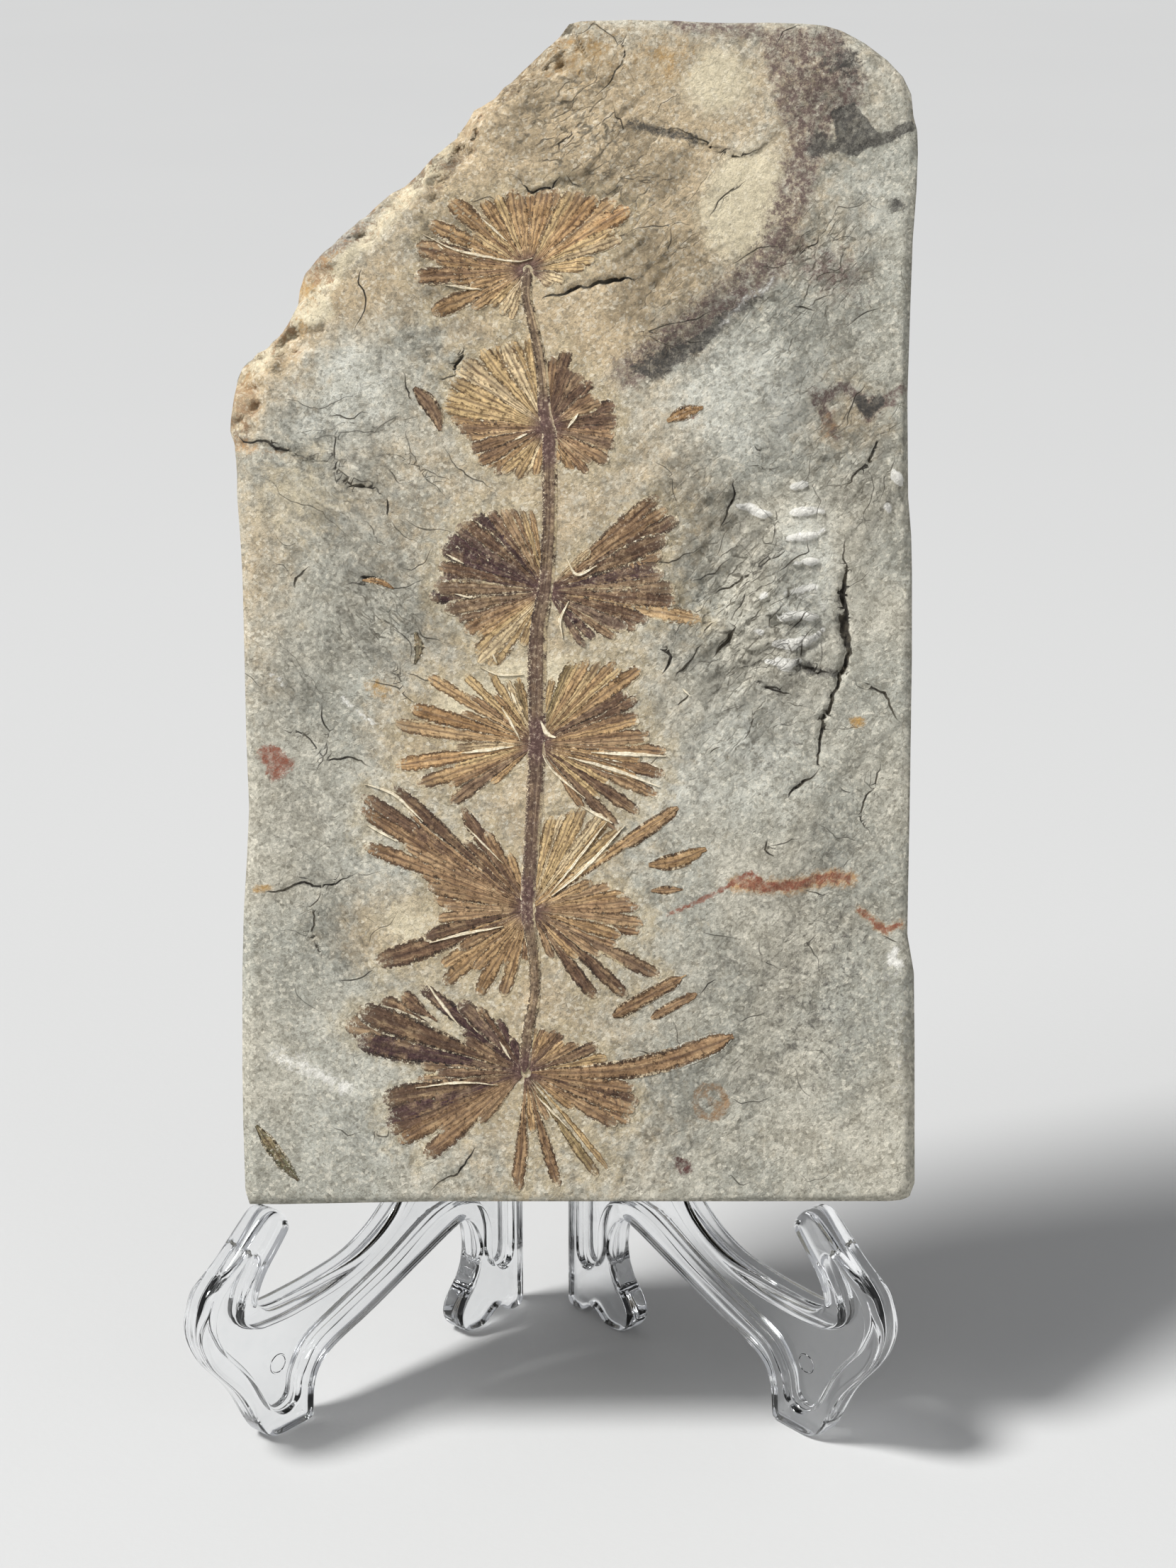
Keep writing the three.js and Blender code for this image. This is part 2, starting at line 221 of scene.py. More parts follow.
# The open cracks and ledges: half width, or several spread evenly along it, how far one side
# stands up, and points.
OPEN_CRACKS = [
    ([0.06, 0.2, 0.13, 0.22, 0.11, 0.24, 0.34, 0.07, 0.04], 0.06, [(-5.6, 119.6), (-4.3, 120.7),
        (-3, 120.6), (-1.1, 121.4), (1.1, 121.6), (2.6, 122.5), (4.2, 122.7), (7.2, 122.4), (9.2, 124)]),
    ([0.05, 0.06, 0.05, 0.14, 0.1, 0.13, 0.05], 0.12, [(-11.5, 136.7), (-8.3, 136.2), (-7.8, 135.3),
        (-6.9, 134.4), (-3.8, 134.6), (-3.4, 135.7), (-2.5, 136.9)]),
    (0.06, 0.12, [(2.6, 134.7), (3.3, 133.9), (4.9, 135.1), (6, 136.6)]),
    ([0.04, 0.06, 0.07, 0.09, 0.12, 0.08, 0.1], 0.3, [(6.5, 143.1), (11.2, 142.5), (15.2, 141.5),
        (17.9, 140.1), (20.3, 139.2), (23, 139.8), (26, 141.5)]),
    ([0.1, 0.19, 0.18, 0.06, 0.1, 0.04], 0.12, [(-15.3, 113.9), (-15.8, 112.5), (-16.8, 111.5),
        (-16.6, 110), (-18.4, 109.4), (-19.6, 109.6)]),
    (0.08, 0.08, [(-23.8, 110.7), (-23, 107.9), (-22.5, 106.4)]),
    ([0.05, 0.13, 0.15, 0.07, 0.05, 0.05, 0.05], 0.32, [(-46.4, 102.7), (-45, 101.2), (-41.3, 100.7),
        (-38.9, 99.9), (-36.4, 99.1), (-32, 98.7), (-30, 98.4)]),
    (0.06, 0.2, [(-38.5, 99.9), (-34, 98.6), (-31.6, 96.9), (-28.1, 95.9), (-26.3, 93.7)]),
    (0.05, 0.2, [(-41.6, 106.6), (-36.6, 105.9), (-32.3, 106.6), (-28.8, 107.6)]),
    (0.05, 0.2, [(-39.5, 102.3), (-33, 101.9), (-27.3, 102.3), (-23.8, 104.1), (-19.5, 104.8)]),
    (0.05, 0.2, [(-29.5, 98.4), (-23.1, 98.4), (-19.5, 96.9), (-15.9, 94.8)]),
    (0.06, 0.2, [(-18.8, 101.2), (-16.6, 97.7), (-13.8, 95.9), (-10.9, 94.1)]),
    (0.06, 0.15, [(-29.5, 91.2), (-27.3, 88.4), (-26.4, 87.6)]),
    (0.06, 0.1, [(-30, 82.9), (-27.3, 82.3), (-25.2, 81.6), (-22.3, 82.3), (-20.2, 83.4)]),
    (0.06, 0.1, [(-24.5, 84.8), (-22.3, 84.1), (-20.9, 84.8), (-19.5, 87.7)]),
    ([0.05, 0.16, 0.05], 0.05, [(-25.9, 93.8), (-25.7, 92.4), (-25.6, 91)]),
    (0.05, 0.12, [(-25.4, 91), (-24.6, 89.5), (-21.3, 87.5)]),
    (0.05, 0.06, [(-27.8, 88.7), (-25.8, 87.1)]), (0.05, 0.08, [(-41.3, 85.4), (-38.6, 83.2)]),
    ([0.04, 0.12, 0.04], 0.05, [(-29.6, 83.2), (-28.9, 83.3), (-25, 82.3)]),
    (0.07, 0.05, [(-24.4, 71.8), (-23.6, 68.7)]), (0.1, 0.05, [(24.9, 48.3), (24.4, 46.9), (25.8, 45.7)]),
    (0.06, 0.05, [(24.8, 47.2), (26.8, 47.7), (29.6, 48.3)]),
    (0.06, 0.06, [(24.1, 35.3), (24.1, 32), (27.2, 30.8)]),
    (0.06, 0.06, [(31.5, 35.9), (30, 34.4), (31.8, 30.2)]), (0.06, 0.05, [(34.2, 55.2), (36.2, 54.5)]),
    (0.05, 0.05, [(36, 45.6), (34.8, 44)]),
    ([0.05, 0.14, 0.16, 0.3, 0.46, 0.24, 0.5, 0.62, 0.4, 0.24, 0.3, 0.22, 0.27, 0.3, 0.38, 0.4], 0.22,
        [(34.3, 90), (34.9, 87.3), (35.3, 84.6), (35.1, 82.8), (34.7, 81), (35.1, 79.2), (34.8, 77.8),
        (35, 76), (35.4, 74.3), (35.9, 73.1), (35.1, 71.1), (34.3, 68.9), (33.1, 65.7), (32, 62.6),
        (31.7, 60.4), (31.7, 56.8)]),
    ([0.06, 0.09, 0.2, 0.12], 0.08, [(31.9, 58.1), (30.6, 56.3), (28.6, 55.1), (27.4, 53.6)]),
    (0.14, 0.12, [(40.8, 102.5), (38.8, 99.9), (36.7, 97.2), (34.7, 94.5)]),
    (0.13, 0.12, [(20.2, 96.2), (19.9, 92.8), (18.4, 89.4)]),
    (0.12, 0.1, [(24.2, 85.4), (22.3, 83.4), (19.9, 81.7), (17.6, 81)]),
    ([0.07, 0.24, 0.16, 0.1], 0.15, [(20.6, 76.8), (19.8, 75.4), (18.7, 74), (17.4, 72.2)]),
    (0.07, 0.15, [(7.5, 84), (10.7, 85.1), (13.9, 86.2), (17.6, 87.2)]),
    (0.07, 0.15, [(13.9, 82.4), (17.6, 83.5), (20.5, 85.6)]),
    ([0.06, 0.2, 0.14, 0.2, 0.06], 0.1, [(10.2, 73.6), (11.2, 73.3), (11.9, 72.7), (11.5, 71.3),
        (10.7, 70)]),
    ([0.05, 0.14, 0.1, 0.05], 0.15, [(12.2, 69.4), (13.6, 71), (14.9, 72.4), (17.2, 74.8)]),
    (0.1, 0.1, [(14.5, 67.8), (12.5, 65.8)]),
    (0.12, 0.12, [(-42.6, 41.2), (-40.7, 41.2), (-37.3, 42.5), (-34.2, 42.2), (-32.2, 42.7),
        (-29.8, 43.9)]),
    (0.1, 0.08, [(-34.5, 41.9), (-35.8, 39.5), (-35.9, 36.1), (-35.3, 33.8), (-34.4, 32.1)]),
    (0.1, 0.1, [(-20.4, 1), (-16.7, 3.4), (-15, 5.8), (-13.7, 7.5)]),
    ([0.05, 0.12, 0.05], 0.05, [(-36.6, 57.1), (-31.5, 59.1), (-27.2, 57.8)]),
    (0.12, 0.2, [(22.9, 69.8), (25.6, 68.1), (28.3, 67.6)]),
    (0.04, 0.06, [(17.5, 138.6), (15.8, 135.1), (10.7, 130.6)]),
    (0.12, 0.2, [(37.1, 69.2), (40.5, 67.8), (42.5, 63.8)]),
    (0.09, 0.12, [(40, 58.4), (39.4, 57), (37.6, 53.2), (37.2, 50.8), (39.2, 48.4)]),
    (0.1, 0.15, [(6.1, 155.7), (5.8, 152.5), (4.4, 150.2), (1, 146.9)]),
    ([0.06, 0.1, 0.12, 0.2], 0.05, [(-36, 84.8), (-37.1, 83.9), (-38.2, 83), (-38.2, 81.8)]),
    ([0.05, 0.12, 0.15, 0.08], 0.1, [(28.6, 71.9), (30, 71.1), (31.6, 70.4), (33.4, 70.2)]),
    (0.05, 0.05, [(32, 75.4), (32.1, 73), (31.9, 70.6)]),
    (0.06, 0.06, [(21.5, 98.2), (24, 97.6), (27.6, 97.7)]),
    (0.05, 0.06, [(39.3, 100.2), (38.6, 94), (37.8, 88.4)]),
    (0.05, 0.1, [(2.6, 152.6), (2.2, 149), (-1.4, 145.4), (-4.6, 142.6)]),
    (0.04, 0.08, [(-1, 140.6), (0.4, 137.4), (3.6, 136.4), (6.2, 138.6)]),
    (0.06, 0.08, [(9.8, 125), (11.8, 127.2), (12.2, 130.4)]),
    (0.05, 0.12, [(-44.6, 97.6), (-38.6, 93.2), (-33.4, 90.6), (-29.8, 86.6)]),
    ([0.06, 0.15, 0.07], 0.1, [(-33.6, 97.2), (-29.6, 95.2), (-25.9, 93.6)]),
    (0.05, 0.08, [(-24.6, 106.2), (-22.8, 100.4), (-19.6, 95.4), (-16.8, 92.6)]),
    (0.06, 0.1, [(17.8, 80.8), (14.2, 77.4), (11.6, 73.2)]),
    (0.06, 0.12, [(24.6, 84.2), (21.4, 79.6), (19.4, 76.8)]),
    (0.05, 0.08, [(42.2, 100.8), (40.4, 96.6), (39.4, 91.8)]),
    (0.05, 0.06, [(30.4, 50.8), (33.8, 48.4), (38.2, 47.6)]),
    (0.04, 0.06, [(-24.4, 66.8), (-21.4, 62.2), (-19.2, 59.4)]),
    (0.04, 0.05, [(-43.4, 76.6), (-38.6, 72.8), (-34.8, 67.8), (-30.2, 65.4)]),
    (0.05, 0.08, [(-28.6, 33.6), (-26.8, 36.4), (-24.2, 38.8)]),
    (0.04, 0.06, [(-26.8, 36.4), (-29.6, 38.2)]),
]
# Places where fine cracks crowd: x, y, reach, how many, and their usual direction in degrees.
CRACK_FIELDS = [
    (22, 78, 11, 34, 48), (36, 96, 9, 16, 60), (37, 64, 9, 8, -40), (-31, 92, 12, 7, -25),
    (-26, 77, 8, 14, -40), (33, 125, 6, 16, 45), (-3, 142, 9, 16, -35), (-38, 70, 8, 8, -50),
    (-26, 108, 9, 6, -55), (-14, 130, 10, 14, 10), (12, 118, 10, 18, 35), (28, 122, 10, 16, 30),
    (8, 134, 12, 18, 20), (16, 94, 10, 16, -60), (30, 108, 12, 16, 20), (34, 45, 12, 12, 10),
    (16, 58, 10, 10, 45), (-36, 50, 9, 10, 25), (-32, 36, 10, 12, -20), (26, 33, 12, 10, 10),
    (20, 20, 14, 10, -20), (-30, 12, 12, 8, 40), (36, 130, 8, 12, -50), (-40, 104, 7, 8, 15),
    (0, 148, 12, 12, -30), (32, 148, 9, 12, 40), (12, 8, 16, 8, 15), (24, 64, 9, 12, 30),
    (-20, 120, 10, 10, -40),
]
DRAWN_SHARE = 0.8  # of a field's fine cracks, since the rest only craze the stone
rng = np.random.default_rng(11)  # for the cracks, and then the leaves and the strips


def ragged(points, spread, rounds=3):
    """A line broken into short uneven steps, as stone cracks."""
    points = np.asarray(points, float)
    for _ in range(rounds):
        run = np.diff(points, axis=0)
        shove = rng.uniform(-spread, spread, (len(run), 1))
        middles = (points[:-1] + points[1:]) / 2 + shove * run[:, ::-1] * (1, -1)
        woven = np.empty((len(points) + len(middles), 2))
        woven[0::2] = points
        woven[1::2] = middles
        points = woven
    return points


cracks = [(half, lift, ragged(points, 0.16)) for half, lift, points in OPEN_CRACKS]
for field_x, field_y, reach, count, direction in CRACK_FIELDS:
    for _ in range(int(count * DRAWN_SHARE)):
        away = reach * math.sqrt(rng.random())
        bearing = rng.uniform(0, 2 * math.pi)
        place = np.array((field_x, field_y))
        place = place + away * np.array((math.cos(bearing), math.sin(bearing)))
        trend = math.radians(direction + rng.normal(0, 24))
        line = [place]
        for _ in range(rng.integers(2, 6)):
            heading = trend + rng.normal(0, 0.42)
            step = rng.uniform(0.7, 2.6)
            line.append(line[-1] + step * np.array((math.cos(heading), math.sin(heading))))
        lift = rng.uniform(-0.05, 0.05)
        cracks.append((0.015 + 0.07 * rng.random() ** 2, lift, ragged(line, 0.12, 1)))

# What each place of the face holds. Cracks are kept as a side, a half width and a distance,
# so that the finish can draw them finer than the mesh.
CRACK_SPAN = 1.6
LEDGE_REACH = 0.9
crack_side = np.full(face_x.shape, CRACK_SPAN)
crack_half = np.zeros(face_x.shape)
crack_near = np.full(face_x.shape, CRACK_SPAN)
ledges = np.zeros(face_x.shape)
for half, lift, line in cracks:
    low, high = line.min(0) - CRACK_SPAN, line.max(0) + CRACK_SPAN
    around = (face_x > low[0]) & (face_x < high[0]) & (face_y > low[1]) & (face_y < high[1])
    if not around.any():
        continue
    away, side, place = from_line(face_x[around], face_y[around], line)
    share = place / (len(line) - 1)
    taper = np.sin(np.pi * np.clip(share, 0.02, 0.98)) ** 0.6
    at_end = np.clip(np.maximum(0.004 - share, share - 0.996), 0, 1)
    half = np.interp(share, np.linspace(0, 1, np.size(half)), np.atleast_1d(half))
    away = away + 120 * at_end
    better = away < crack_near[around]
    for kept, new in ((crack_side, side * away), (crack_half, half * taper), (crack_near, away)):
        values = kept[around]
        values[better] = np.clip(new, -CRACK_SPAN, CRACK_SPAN)[better]
        kept[around] = values
    ledges[around] += lift * taper * side * np.exp(-away / LEDGE_REACH)

# A ladder of raised ribs, painted white as a highlight, with smooth hollows between them: half breadth
# and points.
LADDER = [
    (0.7, [(20.3, 92.6), (22.4, 92.4), (23.9, 91.5), (26, 91.2)]),
    (0.75, [(27.2, 91.3), (29.5, 92), (32.2, 91.8)]), (0.6, [(27.5, 94.9), (30.4, 95.6)]),
    (0.8, [(27.6, 88.3), (30.2, 88.5), (32.1, 89.2)]), (0.65, [(27.9, 84.9), (30.2, 85.1), (31.9, 85.3)]),
    (0.7, [(27.2, 81), (29.6, 81.5), (31.4, 82.1)]), (0.85, [(26.1, 77.5), (28.4, 78), (31.2, 77.8)]),
    (0.95, [(25.7, 74.2), (28, 74.1), (30.6, 74.9), (32.1, 76)]),
    (0.95, [(24.7, 72), (27, 71.3), (29.2, 72)]), (0.5, [(23.4, 80.1), (25.1, 81)]),
    (0.5, [(21.9, 76), (24, 75.6)]), (0.9, [(41.2, 97.2), (42.6, 95.2)]), (0.6, [(40.5, 93), (41, 91.6)]),
]
RIB_WOBBLE = 0.24
RIB_TRIM = 0.08
ladder = np.zeros(face_x.shape)
rib_edge = RIB_WOBBLE * patches(face_x, face_y, 1.1, 52) + RIB_TRIM
for breadth, points in LADDER:
    away, _, place = from_line(face_x, face_y, np.array(points))
    end_taper = 0.35 + 0.65 * np.sin(np.pi * place / (len(points) - 1))
    ladder = np.maximum(ladder, 1 - (away + rib_edge) / (breadth * end_taper))
glazed = np.clip(1 - np.hypot((face_x - 28.4) / 7, (face_y - 77.5) / 10), 0, 1) ** 0.6
crumple = shards(face_x * 0.6, face_y, 1.7, 51)

# Relief of the face, in millimetres above its plane.
STEP_HEIGHT = 0.22
CRINKLE_HEIGHT = 0.25
FLAKE_HEIGHT = 0.24
GRAIN_HEIGHT = 0.03
RIB_HEIGHT = 0.6
CRUMPLE_HEIGHT = 0.4
CRACK_DEPTH = 0.6
FOLD_MIDDLE = -5.0
FOLD_SLOPE = 0.9
FOLD_ROUND = 64
CALM_PLACES = [  # where the face is smooth: x, y, reach across and up, amount
    (-28, 12, 16, 22, 1), (24, 22, 20, 26, 1), (21, 106, 8, 8, 0.8), (30, 83, 3.6, 12, 0.9),
    (20, 132, 9, 11, 0.9), (12, 149, 11, 8, 0.8), (36, 118, 7, 14, 0.6),
]
CRAZED_PLACES = [(-26, 78, 11, 0.5), (-32, 95, 14, 0.3), (-39, 68, 9, 0.3)]  # x, y, reach, amount

calm = np.zeros(face_x.shape)
for x, y, reach_x, reach_y, amount in CALM_PLACES:
    calm += amount * np.exp(-(((face_x - x) / reach_x) ** 2 + ((face_y - y) / reach_y) ** 2))
calm = np.clip(calm, 0, 0.85)
bent_x = face_x + 3.0 * patches(face_x, face_y, 11, 1)
bent_y = face_y + 3.0 * patches(face_x, face_y, 11, 2)
# Wrinkles run down to the stem from both sides: a fold line is a level of this height.
fold = bent_y - FOLD_SLOPE * np.sqrt((bent_x - FOLD_MIDDLE) ** 2 + FOLD_ROUND)
swell = 0.5 * patches(face_x, face_y, 34, 3) + 0.22 * patches(face_x, face_y, 13, 4)
beds = 3.4 * patches(bent_x * 0.7, fold, 14, 5) + 1.6 * patches(bent_x * 0.6, fold, 5.0, 6)
steps = np.floor(beds) + rise(0.0, 0.13, beds - np.floor(beds))
crinkle = 1 - np.abs(patches(bent_x * 0.55, fold, 2.6, 7)) ** 0.7
crinkle += 0.7 * (1 - np.abs(patches(bent_x * 0.6, fold, 1.3, 8)))
grain = patches(face_x, face_y, 0.9, 9) + 0.8 * patches(face_x, face_y, 0.55, 10)
crazed = np.zeros(face_x.shape)
for field_x, field_y, reach, count, _ in CRACK_FIELDS:
    away = np.hypot(face_x - field_x, face_y - field_y) / (1.25 * reach)
    crazed += count / 24 * np.clip(1 - away, 0, 1)
for x, y, reach, amount in CRAZED_PLACES:
    crazed += amount * np.clip(1 - np.hypot(face_x - x, face_y - y) / reach, 0, 1)
crazed = np.clip(crazed, 0, 1)
small_x = bent_x + 0.9 * patches(face_x, face_y, 1.6, 31)
small_fold = fold + 0.9 * patches(face_x, face_y, 1.6, 32)
flake = 0.6 * shards(small_x * 0.55, small_fold, 3.6, 33)
flake += 0.5 * shards(small_x * 0.6, small_fold, 1.7, 34)
folded = (STEP_HEIGHT * steps + CRINKLE_HEIGHT * crinkle) * (1 - 0.75 * calm) * (0.5 + 1.2 * crazed)
flaked = FLAKE_HEIGHT * flake * (0.16 + crazed) * (1 - calm)
ribbed = RIB_HEIGHT * rise(0, 0.8, ladder)
crumpled = CRUMPLE_HEIGHT * glazed * crumple * rise(0.3, 0, ladder)
relief = swell + folded + flaked + GRAIN_HEIGHT * grain + ledges + ribbed + crumpled
open_here = np.clip((crack_half - 0.055) / 0.1, 0, 1.4)
relief -= CRACK_DEPTH * rise(0, 1, 1 - crack_near / np.maximum(crack_half * 2.2, 0.35)) * open_here

# The edge runs down over its own width, and where it is broken it is lumpy and chipped.
edge_away, _, edge_place = from_line(face_x, face_y, closed)
edge_width, edge_depth, edge_rough = (
    np.interp(edge_place, np.arange(len(closed)), np.append(edge_form[:, k], edge_form[0, k]))
    for k in range(3))
lumps = 1 + 1.1 * edge_rough * patches(face_x, face_y, 3.4, 12)
lumps += 0.7 * edge_rough * patches(face_x, face_y, 1.5, 13)
inward = np.clip(edge_away / (edge_width * np.clip(lumps, 0.65, 1.4)), 0, 1)
chips = 1.1 * shards(bent_x, bent_y, 3.2, 41) + 0.8 * shards(small_x, face_y, 1.5, 42)
worn_down = edge_depth * (1 - inward) ** 1.5 * np.clip(lumps, 0.7, 1.25)
chipped = chips * edge_rough * rise(0, 0.3, inward) * rise(0, 0.7, 1 - inward)
relief = relief * rise(0, 1, inward * 1.6) - worn_down + chipped


def faces_of_grid(rows, columns, first=0):
    """Quads of a grid of points numbered row by row."""
    corner = first + np.arange(rows - 1)[:, None] * columns + np.arange(columns - 1)[None]
    corner = corner.ravel()
    return np.stack([corner, corner + 1, corner + columns + 1, corner + columns], -1)


def ring_of_grid(rows, columns):
    """Numbers of a grid's rim points, anticlockwise from its first corner."""
    foot = np.arange(columns)
    right = np.arange(1, rows) * columns + columns - 1
    top = (rows - 1) * columns + np.arange(columns - 2, -1, -1)
    left = np.arange(rows - 2, 0, -1) * columns
    return np.concatenate([foot, right, top, left])


rows, columns = face_x.shape
front_points = on_plate(face_x, face_y, relief).reshape(-1, 3)
front_ring = ring_of_grid(rows, columns)
ring_x, ring_y = face_x.ravel()[front_ring], face_y.ravel()[front_ring]
ring_rise = relief.ravel()[front_ring]
ring_rough = edge_rough.ravel()[front_ring]

# The sides, ring by ring to the back. A broken edge shows the beds as small steps.
BACK_FALL = 0.36  # of the back's rim, which is rounded
BACK_TUCK = 0.63
BACK_ROUND_FROM = 0.86  # of the way down the sides
SAW_MARK = 0.05
ring_next = np.roll(np.arange(len(front_ring)), -1)
ring_last = np.roll(np.arange(len(front_ring)), 1)
run_x, run_y = ring_x[ring_next] - ring_x[ring_last], ring_y[ring_next] - ring_y[ring_last]
run_length = np.hypot(run_x, run_y)
out_x, out_y = run_y / run_length, -run_x / run_length
ring_length = np.cumsum(np.hypot(ring_x - ring_x[ring_last], ring_y - ring_y[ring_last]))
side_points = []
for k in range(1, SIDE_RINGS + 1):
    share = k / SIDE_RINGS
    depth = ring_rise * (1 - share) + (BACK_FALL - PLATE_THICKNESS) * share
    uneven = patches(ring_length, depth * 5, 4.5, 14)
    uneven += 0.6 * patches(ring_length, depth * 9, 1.7, 15)
    tuck = np.interp(share, (BACK_ROUND_FROM, 1), (0, BACK_TUCK))
    shift = 1.6 * ring_rough * (uneven - 0.5) * math.sin(math.pi * min(1, share * 1.15)) - tuck
    shift = shift + SAW_MARK * patches(ring_length * 0.2, depth * 6, 1.0, 16) * (share < 0.9)
    flat_foot = (ring_y < 0.6) & (out_y < -0.7)
    shift = np.where(flat_foot, np.minimum(shift, 0), shift)
    side_points.append(on_plate(ring_x + out_x * shift, ring_y + out_y * shift, depth))

# The back, a rougher split surface on a wider grid that meets the last ring.
BACK_SCALE = (1 - 1.6 / 90, 1 - 1.6 / 157)  # 0.8 mm smaller all round
BACK_PROUD = 0.15  # its highest places stay inside the plate's thickness
back_rows, back_columns = (rows - 1) // BACK_SHARE + 1, (columns - 1) // BACK_SHARE + 1
back_x = face_x[::BACK_SHARE, ::BACK_SHARE]
back_y = face_y[::BACK_SHARE, ::BACK_SHARE]
back_middle = np.array((back_x.mean(), back_y.mean()))
back_x = back_middle[0] + (back_x - back_middle[0]) * BACK_SCALE[0]
back_y = back_middle[1] + (back_y - back_middle[1]) * BACK_SCALE[1]
back_beds = 2.6 * patches(back_x, back_y * 1.4, 19, 21) + patches(back_x, back_y, 6, 22)
back_steps = np.floor(back_beds) + rise(0.0, 0.35, back_beds - np.floor(back_beds))
back_away = from_line(back_x, back_y, closed)[0]
back_chips = shards(back_x + 1.5 * patches(back_x, back_y, 5, 25), back_y * 0.8, 6, 24)
back_relief = 0.45 * back_steps + 0.2 * patches(back_x, back_y, 2.2, 23) + 0.3 * back_chips
back_relief = back_relief * rise(0.8, 3.5, back_away) - 0.25 * rise(0, 3, 3 - back_away)
back_relief = np.clip(back_relief, -1.8, BACK_PROUD)
back_points = on_plate(back_x, back_y, BACK_PROUD - PLATE_THICKNESS - back_relief).reshape(-1, 3)

ring_size = len(front_ring)
side_first = len(front_points)
back_first = side_first + SIDE_RINGS * ring_size
quads = [tuple(q) for q in faces_of_grid(rows, columns)]
last = front_ring
for k in range(SIDE_RINGS):
    this = side_first + k * ring_size + np.arange(ring_size)
    quads += [(last[a], this[a], this[b], last[b]) for a, b in enumerate(ring_next)]
    last = this
back_ring = back_first + ring_of_grid(back_rows, back_columns)
for k, number in enumerate(back_ring):
    start = k * BACK_SHARE
    span = [last[(start + step) % ring_size] for step in range(BACK_SHARE + 1)]
    quads.append((*span[::-1], number, back_ring[(k + 1) % len(back_ring)]))
quads += [tuple(q[::-1]) for q in faces_of_grid(back_rows, back_columns, back_first)]


def piece_from(name, points, faces, smooth=True):
    """A mesh object at the origin, from places in metres."""
    mesh = bpy.data.meshes.new(name)
    mesh.from_pydata(np.asarray(points).tolist(), [], [[int(n) for n in f] for f in faces])
    mesh.validate()
    if smooth:
        mesh.shade_smooth()
    piece = bpy.data.objects.new(name, mesh)
    bpy.context.scene.collection.objects.link(piece)
    return piece


slab = piece_from("siltstone_slab", np.vstack([front_points, *side_points, back_points]), quads)


def mark(piece, name, values):
    """Stores a value for each of the piece's first points, and 0 for the rest."""
    full = np.zeros(len(piece.data.vertices), np.float32)
    full[:values.size] = values.ravel()
    piece.data.attributes.new(name, "FLOAT", "POINT").data.foreach_set("value", full)


def spot(x, y, reach_x, reach_y, turn=0.0):
    """1 at a place on the face, falling to 0 at its reach."""
    c, s = math.cos(math.radians(turn)), math.sin(math.radians(turn))
    dx, dy = face_x - x, face_y - y
    return np.clip(1 - np.hypot((dx * c + dy * s) / reach_x, (dy * c - dx * s) / reach_y), 0, 1)


def facet(corners, soft):
    """1 inside a convex patch given anticlockwise, falling to 0 at its sides over soft mm."""
    inside = np.full(face_x.shape, 9.0)
    for a, b in zip(corners, corners[1:] + corners[:1]):
        length = math.hypot(b[0] - a[0], b[1] - a[1])
        to_side = ((b[0] - a[0]) * (face_y - a[1]) - (b[1] - a[1]) * (face_x - a[0])) / length
        inside = np.minimum(inside, to_side)
    return np.clip(inside / soft, 0, 1)


def streak(line, reach):
    """1 on a line of points, falling to 0 at its reach."""
    away, _, _ = from_line(face_x, face_y, np.asarray(line, float))
    return np.clip(1 - away / reach, 0, 1)


def ring(x, y, radius, reach):
    """1 on a slightly flat ring, falling to 0 at its reach."""
    away = np.hypot(face_x - x, (face_y - y) * 0.95) - radius
    return np.clip(1 - np.abs(away) / reach, 0, 1)
